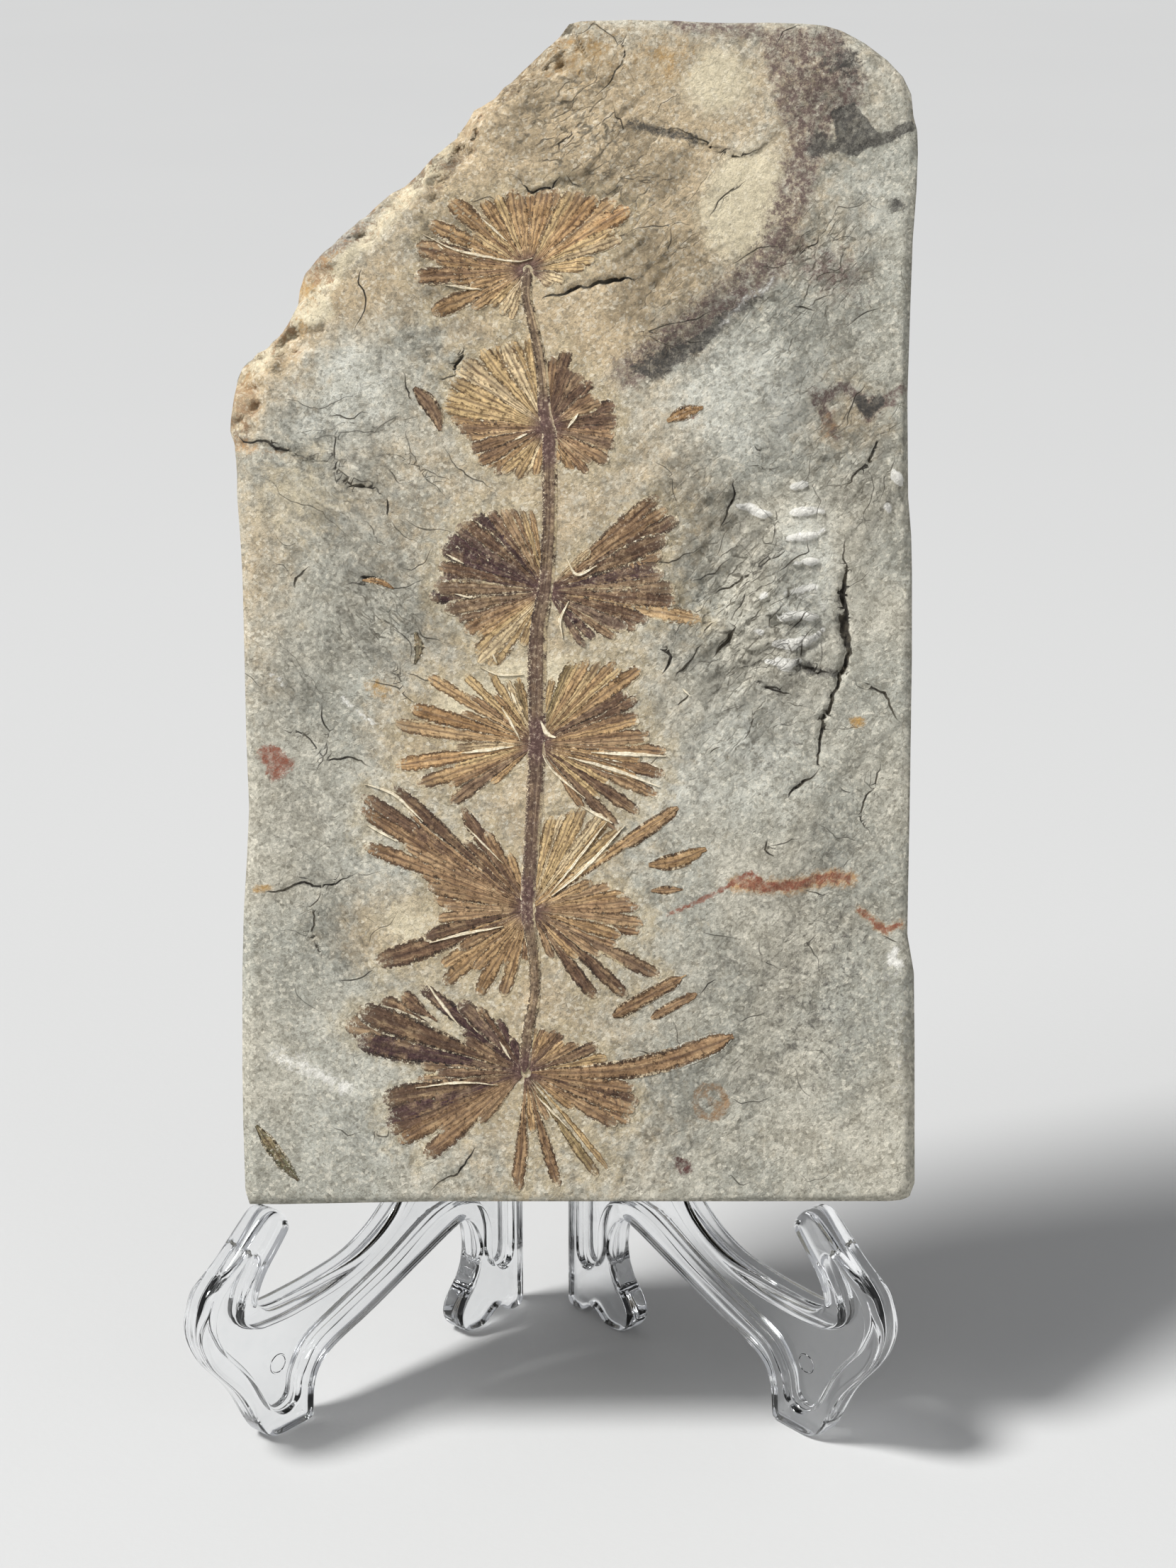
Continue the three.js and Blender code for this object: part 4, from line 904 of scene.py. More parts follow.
# Whorls from the top: middle, and leaves as (bearing, reach, breadth, ink and any own start).
WHORLS = [
    ((-7.1, 124.1), [
        (250, 7, 1.3, "cream"), (238, 7, 1.3, "cream"), (225, 7, 1.4, "straw"), (214, 9, 1.6, "tan"),
        (204.7, 14, 2.5, "tan"), (197.5, 8, 1.6, "tan"), (190, 10.5, 1.8, "tan"),
        (183.3, 15.1, 2.7, "brown"), (175, 12.5, 2, "tan"), (167.6, 15.1, 2.9, "brown"),
        (161, 8, 1.4, "tan"), (154.6, 14.6, 2.4, "tan"), (146, 9, 1.5, "straw"), (137, 14, 2.5, "tan"),
        (129.5, 9, 1.5, "straw"), (122, 11.1, 1.9, "tan"), (112, 10.6, 1.8, "straw"),
        (103, 11, 2.2, "tan"), (95, 9.9, 2, "tan"), (88, 10.2, 2, "ochre"), (81, 10.6, 2, "tan"),
        (74, 11, 2.1, "ochre"), (67, 11.4, 2.1, "tan"), (60, 12, 2.2, "straw"), (52.5, 12.6, 2.3, "tan"),
        (45, 13.4, 2.4, "ochre"), (38, 14.8, 2.7, "tan"), (31, 15.7, 2.9, "ochre"),
        (23.5, 12.5, 2, "straw"), (17, 13, 1.6, "cream"), (9, 9, 1.5, "straw"), (2, 7.6, 1.4, "straw"),
        (-15, 5, 1.4, "cream"), (-33, 3.8, 1.5, "cream"),
    ]),
    ((-4.6, 103), [
        (102.6, 12.7, 2.2, "straw"), (110, 12.4, 2.2, "straw"), (117, 12.6, 2.2, "cream"),
        (124, 12.8, 2.2, "straw"), (131, 13.6, 2.3, "straw"), (138.5, 14.3, 2.3, "cream"),
        (146, 14.3, 2.2, "cream"), (153, 14.4, 2.2, "straw"), (160, 14.4, 2.2, "straw"),
        (167, 14.3, 2.2, "straw"), (174, 12.8, 2.1, "tan"), (180, 11.8, 2.2, "brown"),
        (187, 11, 1.9, "tan"), (194, 10.6, 1.9, "brown"), (201, 10.2, 1.8, "tan"),
        (207, 10.2, 1.9, "brown"), (214, 9.6, 1.8, "tan"), (221, 9.2, 1.8, "tan"),
        (229, 8.5, 1.6, "straw"), (237, 7.9, 1.6, "straw"), (246, 7.2, 1.4, "cream"),
        (256, 6.5, 1.3, "tan"), (84, 9.6, 1.6, "brown"), (76.7, 10.8, 2.2, "umber"),
        (68, 8.6, 1.7, "umber"), (58.5, 8.6, 1.8, "umber"), (52, 7.8, 1.6, "umber"),
        (45, 8.6, 1.8, "umber"), (36, 7.7, 1.7, "brown"), (27, 8, 1.7, "brown"), (18, 9.6, 2.4, "umber"),
        (9, 9.4, 2, "umber"), (2, 9.4, 1.9, "umber"), (-6, 9.1, 1.9, "brown"), (-14.5, 9.4, 2, "umber"),
        (-22, 8.8, 1.7, "brown"), (-29, 9.4, 1.8, "brown"), (-39, 7.6, 1.6, "brown"),
        (-49, 8.1, 1.6, "brown"), (-60, 6.7, 1.3, "tan"), (-72, 5, 1.2, "tan"),
    ]),
    ((-4.6, 81.3), [
        (100, 11, 1, "tan"), (107, 11.5, 1.1, "straw"), (113, 12, 1.4, "brown"),
        (119, 12.4, 1.8, "brown"), (125, 13.2, 2, "umber"), (131, 14.1, 2.2, "plum"),
        (138, 14.4, 2.2, "umber"), (145, 14.8, 2.3, "plum"), (152, 15, 2.3, "plum"),
        (159, 15.3, 2.2, "plum"), (165, 14.8, 2.2, "umber"), (171, 14.3, 2.3, "plum"),
        (177.5, 15, 2.2, "umber"), (184, 15.6, 2.3, "plum"), (191, 13.8, 2.2, "umber"),
        (197.5, 12.6, 2, "umber"), (205, 12.2, 2.2, "brown"), (213, 11, 1.8, "tan"),
        (221, 12.6, 2.2, "straw"), (228, 13.2, 2.2, "cream"), (235, 12.6, 2, "straw"),
        (246, 8, 1.6, "straw"), (258, 9.2, 1.8, "brown"), (46, 8, 1.1, "cream"), (41, 19.4, 2.3, "brown"),
        (35, 19.3, 2.4, "brown"), (29, 20, 2.5, "umber"), (24, 17.4, 2.6, "umber"),
        (18, 16.2, 2.6, "brown"), (12, 15.2, 2.6, "plum"), (6, 15.8, 2.5, "umber"), (0, 17, 2.5, "umber"),
        (-5, 17.6, 2.4, "umber"), (-10.6, 21, 2.2, "tan"), (-16, 14, 2.2, "umber"),
        (-22, 13, 2.1, "umber"), (-28, 11.8, 2, "plum"), (-36, 11.1, 1.4, "umber"), (-46, 9, 1.4, "plum"),
        (-56, 9, 1.3, "plum"),
    ]),
    ((-5.9, 60.9), [
        (95, 7, 1, "straw"), (105, 9.3, 1.1, "straw"), (112, 9, 1, "olive"), (118, 9.4, 1.1, "cream"),
        (124, 11.6, 1.2, "straw"), (130, 9, 1, "tan"), (136.6, 13.4, 1.3, "straw"), (142, 11, 1, "brown"),
        (148.2, 17.2, 1.8, "tan"), (156, 11, 1.2, "tan"), (163.8, 17.5, 2.1, "ochre"),
        (169, 11, 1.2, "tan"), (174.3, 19, 2.1, "tan"), (181.5, 11, 1.2, "cream"),
        (189, 19, 2.1, "ochre"), (195, 11.5, 1.3, "straw"), (200.8, 16.8, 2, "tan"),
        (206.5, 13, 1.5, "brown"), (212, 14, 2.1, "umber"), (219, 8, 1.3, "tan"), (84, 7, 1, "straw"),
        (76, 9, 1.2, "straw"), (67.5, 12, 1.5, "olive"), (62, 12.4, 1.4, "straw"),
        (57.6, 13.1, 1.5, "tan"), (52, 13.8, 1.5, "straw"), (47.2, 15.1, 1.7, "tan"),
        (42, 15, 1.5, "straw"), (36.7, 17.2, 2, "tan"), (30, 14, 1.8, "umber"), (24, 14.7, 1.8, "umber"),
        (17.5, 14, 1.7, "brown"), (11.5, 14, 1.6, "tan"), (6, 15, 1.7, "brown"), (1.8, 15, 1.6, "brown"),
        (-2.5, 17.3, 1.8, "brown"), (-8, 14, 1.4, "tan"), (-12.5, 17.5, 1.9, "brown"),
        (-17.5, 14, 1.4, "tan"), (-22, 17.5, 1.9, "brown"), (-28, 11, 1.2, "straw"),
        (-34.2, 16.4, 1.8, "umber"), (-39.5, 11, 1.1, "straw"), (-45, 15.7, 1.7, "umber"),
        (-53, 11, 1.1, "brown"),
    ]),
    ((-6.7, 38.9), [
        (112, 8, 1.3, "tan"), (119.6, 12, 1.7, "brown"), (126.8, 16.4, 1.9, "umber"),
        (133, 13, 1.8, "brown"), (139, 24.8, 2, "umber"), (142.3, 21, 1.9, "brown"),
        (145.4, 27.1, 2.1, "umber"), (148.3, 20, 1.8, "brown"), (151, 26.3, 2.1, "brown"),
        (154.5, 19, 2, "brown"), (158, 23.8, 2.1, "brown"), (163, 15.5, 2, "brown"),
        (168.5, 14, 2.1, "brown"), (174, 13, 2, "brown"), (180, 11.5, 1.9, "brown"),
        (186, 12.5, 1.9, "brown"), (192, 14.8, 1.9, "umber"), (197, 13, 1.4, "tan"),
        (201.5, 21.6, 3, "umber"), (208, 11, 1.8, "brown"), (213.5, 14, 2, "tan"),
        (219.5, 15.2, 2.3, "tan"), (227, 11, 1.7, "tan"), (234.5, 13.3, 2.2, "tan"), (243, 8, 1.4, "tan"),
        (251.8, 12.1, 1.8, "tan"), (262, 7, 1.2, "brown"), (84, 11.5, 1.5, "straw"),
        (78, 12.8, 1.6, "straw"), (72, 13.5, 1.6, "cream"), (66, 14.3, 1.6, "straw"),
        (60, 15.3, 1.6, "straw"), (54.5, 15.8, 1.5, "cream"), (49, 16.3, 1.5, "straw"),
        (43.5, 16.3, 1.5, "straw"), (39, 13, 1.2, "cream"), (24, 9, 1.4, "tan"), (16, 11.2, 1.7, "brown"),
        (10, 12.6, 1.8, "tan"), (4.5, 13.3, 1.8, "brown"), (-1, 14.4, 1.8, "brown"),
        (-6, 15, 1.9, "brown"), (-11, 14.8, 1.9, "brown"), (-17, 12.4, 1.8, "tan"),
        (-22, 12.6, 1.7, "brown"), (-27.8, 19.3, 2.1, "umber"), (-34, 11, 1.5, "brown"),
        (-40.9, 17.2, 2.1, "umber"), (-48, 9, 1.4, "tan"), (-56, 14.6, 1.8, "umber"),
        (-66, 7, 1.2, "brown"),
    ]),
    ((-7.4, 17.2), [
        (112, 5, 1.2, "plum"), (120, 8, 1.6, "plum"), (126, 10.8, 2, "umber"), (132.5, 13, 2.2, "plum"),
        (139.8, 18.2, 2.1, "plum"), (146, 10, 1.7, "plum"), (151, 9.3, 1.8, "umber"),
        (149.5, 19.4, 2.3, "umber", 13.6), (153.5, 21.4, 2.6, "umber", 14.4), (160, 23.8, 3.6, "umber"),
        (164.6, 24.9, 4, "umber"), (169.5, 23, 3.5, "plum"), (174.5, 14, 2, "umber"),
        (180, 12, 1.5, "umber"), (186, 14.6, 1.9, "umber"), (191.5, 19.4, 3.3, "umber"),
        (197, 19.8, 3, "plum"), (202, 19.8, 3, "umber"), (207, 19.3, 2.8, "brown"),
        (213, 14, 2.2, "brown"), (219, 17.4, 2.8, "brown"), (225, 9, 1.6, "brown"), (78, 6, 1, "straw"),
        (69.6, 6.5, 1.1, "brown"), (62, 6.2, 1, "tan"), (54, 7, 1.2, "brown"), (47, 7.2, 1.2, "umber"),
        (38, 6.6, 1.2, "tan"), (30, 8, 1.5, "brown"), (24, 9, 1.7, "brown"), (17.2, 10.2, 1.9, "umber"),
        (11, 11, 1.7, "straw"), (5, 10, 1.6, "tan"), (0, 12, 1.9, "tan"), (-5.5, 13, 1.9, "brown"),
        (-10.5, 14.6, 2, "brown"), (-15.5, 15.5, 2.6, "umber"), (-20, 15.3, 2.4, "brown"),
        (-25, 15.3, 2.4, "brown"), (-30, 14, 2.2, "brown"), (-37, 8, 1.4, "tan"), (-46.7, 17, 1, "straw"),
        (-56.8, 16.9, 1.5, "olive"), (-66, 7, 1, "brown"), (-75.5, 15.8, 1.8, "brown"),
        (-83, 8, 1.2, "tan"), (-92, 15.9, 2.1, "brown"),
    ]),
]
LEAF_START = 0.7  # how far out from the whorl's middle a leaf begins
LEAF_DOME = 0.035  # how far the middle of a leaf stands above its margins
LEAF_BACKING = 0.12  # how deep the film reaches into the stone
LEAF_BEND = 0.35  # usual sideways bend of a leaf 15 mm long
LEAF_FRAY = 0.5
LEAF_CELLS = (9, 30)
LEAF_FORM = [(0, 0.13), (0.22, 0.3), (0.5, 0.72), (0.74, 1), (0.9, 0.9), (0.97, 0.66), (1, 0.32)]
HALO_REACH = 3.6
STONE_VALUES = ("warm", "cream", "cool", "halo")  # what the film shows of the stone under it

# The stone is palest close to the leaves.
halo = np.zeros(face_x.shape)
for (middle_x, middle_y), rows in WHORLS:
    for bearing, reach, *_ in rows:
        turn = math.radians(bearing)
        tip = (middle_x + reach * math.cos(turn), middle_y + reach * math.sin(turn))
        leaf = np.array([(middle_x, middle_y), tip])
        low, high = leaf.min(0) - HALO_REACH, leaf.max(0) + HALO_REACH
        near = (face_x > low[0]) & (face_x < high[0]) & (face_y > low[1]) & (face_y < high[1])
        away = from_line(face_x[near], face_y[near], leaf)[0]
        halo[near] = np.maximum(halo[near], 1.25 * (1 - away / HALO_REACH))
mark(slab, "halo", halo)


class Build:
    """A tree of geometry nodes with named inputs."""

    def __init__(self, name, inputs):
        self.tree = bpy.data.node_groups.new(name, "GeometryNodeTree")
        new_socket = self.tree.interface.new_socket
        for way in ("INPUT", "OUTPUT"):
            new_socket("Geometry", in_out=way, socket_type="NodeSocketGeometry")
        self.keys = {}
        for label, kind in inputs.items():
            socket = new_socket(label, in_out="INPUT", socket_type="NodeSocket" + kind)
            self.keys[label] = socket.identifier
        self.given = self.tree.nodes.new("NodeGroupInput").outputs
        self.made = self.tree.nodes.new("NodeGroupOutput").inputs

    add = Finish.add
    math = Finish.math
    times = Finish.times

    def vector(self, operation, *values):
        sockets = {}
        for key, value in enumerate(values):
            scaled = operation == "SCALE" and key == 1
            sockets["Scale" if scaled else key] = value
        return self.add("ShaderNodeVectorMath", sockets, operation=operation).outputs[0]

    def read(self, name, kind="FLOAT"):
        return self.add("GeometryNodeInputNamedAttribute", {"Name": name}, data_type=kind).outputs[0]

    def store(self, geometry, name, value):
        inputs = {"Geometry": geometry, "Name": name, "Value": value}
        return self.add("GeometryNodeStoreNamedAttribute", inputs, data_type="FLOAT").outputs[0]

    def frayed(self):
        """A small uneven shift of each place."""
        uneven = self.add("ShaderNodeTexNoise", {"Scale": 900.0, "Detail": 3.0}).outputs["Color"]
        uneven = self.vector("SUBTRACT", uneven, (0.5, 0.5, 0.5))
        return self.vector("SCALE", uneven, self.given["Fray"])

    def lay_on_stone(self, geometry):
        """Drops the geometry on the stone and domes it from its margins to its middle."""
        place = self.add("GeometryNodeInputPosition").outputs[0]
        stone = self.add("GeometryNodeObjectInfo", {0: self.given["Stone"]},
                         transform_space="RELATIVE").outputs["Geometry"]
        inward = self.vector("SCALE", self.given["Outward"], -1.0)
        ray = {"Target Geometry": stone, "Source Position": place, "Ray Direction": inward,
               "Ray Length": RAY_REACH * MM}
        found = self.add("GeometryNodeRaycast", ray, data_type="FLOAT")
        aside = self.math("ABSOLUTE", self.read("across"))
        dome = self.math("SUBTRACT", 1.0, self.math("POWER", aside, 2.5))
        groove = self.math("MINIMUM", self.times(aside, 4.0), 1.0)
        groove = self.times(self.math("SUBTRACT", 1.0, groove), 0.35)
        dome = self.times(self.math("SUBTRACT", dome, groove), self.given["Dome"])
        lift = self.math("ADD", dome, self.read("lift"))
        up = self.vector("SCALE", self.given["Outward"], lift)
        laid = self.vector("ADD", found.outputs["Hit Position"], up)
        on_it = self.add("GeometryNodeSetPosition", {"Geometry": geometry, "Position": laid})
        missed = self.math("SUBTRACT", 1.0, found.outputs["Is Hit"])
        kept = self.add("GeometryNodeDeleteGeometry",
                        {"Geometry": on_it.outputs[0], "Selection": missed}, domain="POINT")
        stained = kept.outputs[0]
        for name in STONE_VALUES:
            ray["Attribute"] = self.read(name)
            value = self.add("GeometryNodeRaycast", ray, data_type="FLOAT").outputs["Attribute"]
            stained = self.store(stained, name, value)
        return stained

    def end(self, geometry):
        whole = self.add("GeometryNodeRealizeInstances", {0: geometry}).outputs[0]
        finished = {"Geometry": whole, "Material": self.given["Finish"]}
        done = self.add("GeometryNodeSetMaterial", finished)
        self.tree.links.new(done.outputs[0], self.made[0])

    def run(self, start, dome, fray, material, **values):
        """The tree's result on a start mesh, thickened, as a plain piece."""
        name = start.name
        values.update(Stone=slab, Outward=OUTWARD.tolist(), Dome=dome * MM, Fray=fray * MM,
                      Finish=material)
        modifier = start.modifiers.new(name, "NODES")
        modifier.node_group = self.tree
        for label, value in values.items():
            modifier[self.keys[label]] = value
        shell = start.modifiers.new("thickness", "SOLIDIFY")
        shell.thickness = LEAF_BACKING * MM
        shell.offset = -1
        graph = bpy.context.evaluated_depsgraph_get()
        mesh = bpy.data.meshes.new_from_object(
            start.evaluated_get(graph), preserve_all_data_layers=True, depsgraph=graph)
        mesh.shade_smooth()
        mesh.set_sharp_from_angle(angle=math.radians(35))
        start.modifiers.clear()
        flat_mesh = start.data
        start.data = mesh
        bpy.data.meshes.remove(flat_mesh)
        mesh.name = name
        return start


RAY_REACH = 30
LAID = {
    "Stone": "Object", "Outward": "Vector", "Dome": "Float", "Fray": "Float", "Finish": "Material",
}
whorl = Build("leaf_whorl", {
    **LAID, "Cells Across": "Int", "Cells Along": "Int", "Node Dark": "Float"})
sheet = whorl.add("GeometryNodeMeshGrid", {
    "Size X": 1.0, "Size Y": 1.0, "Vertices X": whorl.given["Cells Across"],
    "Vertices Y": whorl.given["Cells Along"]}).outputs["Mesh"]
flat_place = whorl.add("GeometryNodeInputPosition").outputs[0]
flat = whorl.add("ShaderNodeSeparateXYZ", {0: flat_place}).outputs
along = whorl.math("ADD", flat["Y"], 0.5)
sheet = whorl.store(sheet, "along", along)
sheet = whorl.store(sheet, "across", whorl.times(flat["X"], 2.0))
form_curve = whorl.add("ShaderNodeFloatCurve", {"Value": along})
form_points = form_curve.mapping.curves[0].points
for k, (at, width) in enumerate(LEAF_FORM):
    if k < 2:
        form_points[k].location = (at, width)
    else:
        form_points.new(at, width)
form_curve.mapping.update()
width = whorl.times(flat["X"], form_curve.outputs[0])
blade = whorl.add("ShaderNodeCombineXYZ", {"X": width, "Y": along}).outputs[0]
sheet = whorl.add("GeometryNodeSetPosition", {"Geometry": sheet, "Position": blade}).outputs[0]
size = whorl.add("ShaderNodeCombineXYZ", {
    "X": whorl.read("breadth"), "Y": whorl.read("reach"), "Z": 1.0}).outputs[0]
leaves = whorl.add("GeometryNodeInstanceOnPoints", {
    "Points": whorl.given["Geometry"], "Instance": sheet,
    "Rotation": whorl.read("lay", "FLOAT_VECTOR"), "Scale": size}).outputs[0]
leaves = whorl.add("GeometryNodeRealizeInstances", {0: leaves}).outputs[0]
bow = whorl.math("POWER", whorl.read("along"), 2.0)
bow = whorl.vector("SCALE", whorl.read("bend", "FLOAT_VECTOR"), bow)
leaves = whorl.add("GeometryNodeSetPosition", {
    "Geometry": leaves, "Offset": whorl.vector("ADD", bow, whorl.frayed())}).outputs[0]
out_from_node = whorl.times(whorl.read("along"), whorl.read("reach"))
near_node = whorl.math("DIVIDE", out_from_node, whorl.given["Node Dark"])
near_node = whorl.math("SUBTRACT", 1.0, near_node, clamp=True)
near_node = whorl.times(near_node, whorl.read("darkness"))
whorl.end(whorl.lay_on_stone(whorl.store(leaves, "near_node", near_node)))

# The film: its ink, streaked along the leaf, with dark margins and midrib, specks and worn
# places. Its ragged rim has the colour of the stone under it.
film = Finish("leaf_film")
film_place = film.plate_place()
leaf_across = film.value("across")
leaf_along = film.value("along")
aside = film.math("ABSOLUTE", leaf_across)
chance = film.value("chance")
fuzz = film.value("fuzz")
near_node = film.value("near_node")
grain_place = film.add("ShaderNodeCombineXYZ", {
    "X": film.times(leaf_across, 2.2), "Y": film.times(leaf_along, 3.0),
    "Z": film.times(chance, 40.0)}).outputs[0]
fibre = film.noise(grain_place, 1.3, 5, 0.7)
speckle = film.noise(film_place, 1.8, 7, 0.8)
patchy = film.noise(film_place, 0.5, 5, 0.65)
uneven = film.math("SUBTRACT", speckle, 0.5)
margin = film.math("MULTIPLY_ADD", uneven, 1.3, aside)
midrib = film.math("MULTIPLY_ADD", uneven, 0.5, aside)
lit_node = film.times(near_node, film.spread(speckle, 0.55, 0.44))
tint = film.coats(film.add("ShaderNodeAttribute", attribute_name="ink").outputs["Color"], (
    (film.spread(chance, 0.5, 0, 0, 0.5), (176, 166, 156), "MULTIPLY"),
    (film.spread(chance, 0.6, 1, 0, 0.2), (206, 182, 144)),
    (film.spread(patchy, 0.46, 0.68, 0, 0.32), (196, 168, 128)),
    (film.spread(fibre, 0.48, 0.62, 0, 0.8), (156, 142, 126), "MULTIPLY"),
    (film.spread(fibre, 0.46, 0.28, 0, 0.4), (206, 180, 138)),
    (film.spread(margin, 0.46, 0.78, 0, 0.88), (112, 99, 86), "MULTIPLY"),
    (film.spread(midrib, 0.02, 0.2, 0.6, 0), (68, 50, 40)),
    (film.spread(speckle, 0.52, 0.61, 0, 0.8), (116, 102, 90), "MULTIPLY"),
    (film.spread(speckle, 0.48, 0.38, 0, 0.7), (182, 176, 166), "DODGE"),
    (film.spread(patchy, 0.48, 0.32, 0, 0.35), (84, 63, 49)),
    (film.spread(near_node, 0.1, 1, 0, 0.85), (72, 50, 47)),
    (film.spread(lit_node, 0.3, 0.9, 0, 0.26), (132, 98, 96)),
))
dark_tip = film.times(film.spread(leaf_along, 0.72, 0.97), film.value("tip"))
# A painted highlight: a pale line along one side of some leaves, for the light caught by the stone's edge
# beside them.
lit = film.times(film.spread(leaf_across, 0.5, 0.75), film.spread(chance, 0.78, 0.83))
lit = film.times(lit, film.spread(speckle, 0.44, 0.54))
lit = film.times(lit, film.spread(patchy, 0.44, 0.54))
gap = film.times(film.spread(aside, 0.6, 0.85), film.spread(leaf_along, 0.75, 0.35))
gap = film.times(gap, film.spread(speckle, 0.49, 0.42, 0, 0.8))
rim = film.math("MULTIPLY_ADD", uneven, film.math("MULTIPLY_ADD", fuzz, 3.0, 1.6), aside)
rim = film.math("SUBTRACT", rim, film.spread(leaf_along, 0.3, 0.65, 0.25, 0))
tip_rim = film.math("MULTIPLY_ADD", uneven, 0.6, film.math("SUBTRACT", leaf_along, 0.05))
worn = film.times(film.spread(speckle, 0.47, 0.36), fuzz)
bare_here = film.spread(film.math("MAXIMUM", rim, tip_rim), 0.88, 0.98)
bare_here = film.math("MAXIMUM", bare_here, worn)
tint = film.coats(tint, (
    (dark_tip, (78, 60, 48)), (film.times(lit, 0.75), (214, 194, 154)), (gap, (222, 205, 172)),
))
tint = film.blend(bare_here, tint, plain_stone(film, film_place))
film_height = film.math("MULTIPLY_ADD", speckle, 0.9, film.times(fibre, 0.6))
film_bump = film.add("ShaderNodeBump", {
    "Height": film_height, "Strength": 0.6, "Distance": 0.00016})
film.surface(**{
    "Base Color": tint, "Roughness": film.spread(speckle, 0.3, 0.7, 0.58, 0.82),
    "Specular IOR Level": 0.3, "Normal": film_bump.outputs[0],
})


def start_from(name, points, attributes, faces=()):
    """A piece of places in metres, with an attribute for each named column of values."""
    start = piece_from(name, points, faces, smooth=False)
    kinds = {1: ("FLOAT", "value"), 3: ("FLOAT_VECTOR", "vector"), 4: ("FLOAT_COLOR", "color")}
    for key, values in attributes.items():
        values = np.asarray(values, np.float32)
        kind, field = kinds[1 if values.ndim == 1 else values.shape[1]]
        start.data.attributes.new(key, kind, "POINT").data.foreach_set(field, values.ravel())
    return start


def fossil(piece):
    """A piece of the plant goes where the plate goes."""
    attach(piece, "left_half")
    return piece


HOVER = 8  # a piece is laid on the stone from this far out
USUAL_FUZZ = 0.08
FUZZ = {3: 0.4, 6: 0.15}  # of the whorls that are worn
NODE_DARK = 3.4  # how far out from its middle a whorl is darkened
for number, ((middle_x, middle_y), rows) in enumerate(WHORLS, 1):
    points, lay, bend = [], [], []
    rows = [(*row, LEAF_START)[:5] for row in rows]
    for bearing, reach, _, _, root in rows:
        turn = math.radians(bearing)
        direction = math.cos(turn) * ACROSS + math.sin(turn) * UPHILL
        sideways = np.cross(direction, OUTWARD)
        leaf_axes = Matrix(np.stack([sideways, direction, OUTWARD], -1).tolist())
        points.append(on_plate(
            middle_x + root * math.cos(turn), middle_y + root * math.sin(turn), HOVER))
        lay.append(tuple(leaf_axes.to_euler()))
        bend.append(sideways * rng.normal(0, LEAF_BEND) * MM * reach / 15)
    count = len(rows)
    _, reaches, breadths, inks, roots = (np.array(column) for column in zip(*rows))
    start = start_from(f"leaf_whorl_{number}", points, {
        "lay": lay, "bend": bend,
        "reach": MM * (reaches - roots),
        "breadth": MM * breadths * rng.uniform(0.95, 1.12, count),
        "lift": MM * rng.uniform(0.02, 0.06, count),
        "fuzz": np.full(count, FUZZ.get(number, USUAL_FUZZ)),
        "ink": [INKS[ink] for ink in inks],
        "chance": rng.random(count),
        "tip": rng.uniform(-0.3, 0.6, count).clip(0, 1),
        "darkness": np.where(roots > LEAF_START, 0, 1),
    })
    fossil(whorl.run(start, LEAF_DOME, LEAF_FRAY, film.material, **{
        "Cells Across": LEAF_CELLS[0], "Cells Along": LEAF_CELLS[1], "Node Dark": NODE_DARK * MM}))

# ---- The stem -------------------------------------------------------------------------------
# The horsetail's stem: a ribbed strip of the same brown film, flattened together with the
# leaves, and darkest at the whorls where they grew out of it.

STEM = [
    (-7.1, 124.3), (-7.3, 120.8), (-6.2, 115.8), (-5.3, 110.7), (-4.9, 105.3), (-4.2, 101.9),
    (-4.2, 97.2), (-4.2, 90.5), (-4.6, 83.7), (-4.9, 80.9), (-5.8, 75.9), (-5.9, 69.2), (-5.9, 60.8),
    (-6.2, 54), (-6.6, 47.3), (-7.1, 38.7), (-6.3, 32.7), (-6.2, 27.6), (-7.1, 22.6), (-7.6, 17.2),
]
STEM_HALF = [  # half widths, evenly along it
    0.75, 0.7, 0.8, 0.95, 1.1, 1.05, 1, 1.05, 1.2, 1.3, 1.3, 1.25, 1.2, 1.15, 1.1, 1.1, 0.85, 0.8,
    0.85, 0.9,
]
STEM_DARK = [  # x, y, reach and amount
    (-7, 124, 3, 0.5), (-4.4, 104.5, 4.5, 1), (-4.2, 100.5, 5, 0.9), (-4.6, 82, 5, 0.6),
    (-5.9, 61.5, 6, 0.95), (-6.2, 55, 6, 0.5), (-6.9, 40, 6, 1), (-6.4, 18, 4, 1),
    (-4.8, 92, 14, 0.42), (-5.2, 72, 14, 0.5), (-6.4, 50, 15, 0.55), (-7.2, 29, 12, 0.25),
]
STRIP_FRAY = 0.3
USUAL_STRIP_FUZZ = 0.1

strip = Build("strip_on_stone", LAID)
strips = strip.add("GeometryNodeSetPosition", {
    "Geometry": strip.given["Geometry"], "Offset": strip.frayed()}).outputs[0]
strip.end(strip.lay_on_stone(strips))


def smooth_line(points, spacing):
    """Evenly spaced points on a smooth curve through the given ones."""
    points = np.asarray(points, float)
    if len(points) == 2:
        points = np.array([points[0], points.mean(0), points[1]])
    padded = np.vstack([2 * points[0] - points[1], points, 2 * points[-1] - points[-2]])
    t = np.linspace(0, 1, 12, endpoint=False)[:, None]
    curve = []
    for a, b, c, d in zip(padded[:-3], padded[1:-2], padded[2:-1], padded[3:]):
        curve.append(0.5 * (2 * b + (c - a) * t + (2 * a - 5 * b + 4 * c - d) * t**2
                            + (3 * b - 3 * c + d - a) * t**3))
    curve = np.vstack([*curve, points[-1:]])
    length = np.hypot(*np.diff(curve, axis=0).T).sum()
    return evenly_along(curve, max(4, round(length / spacing)))


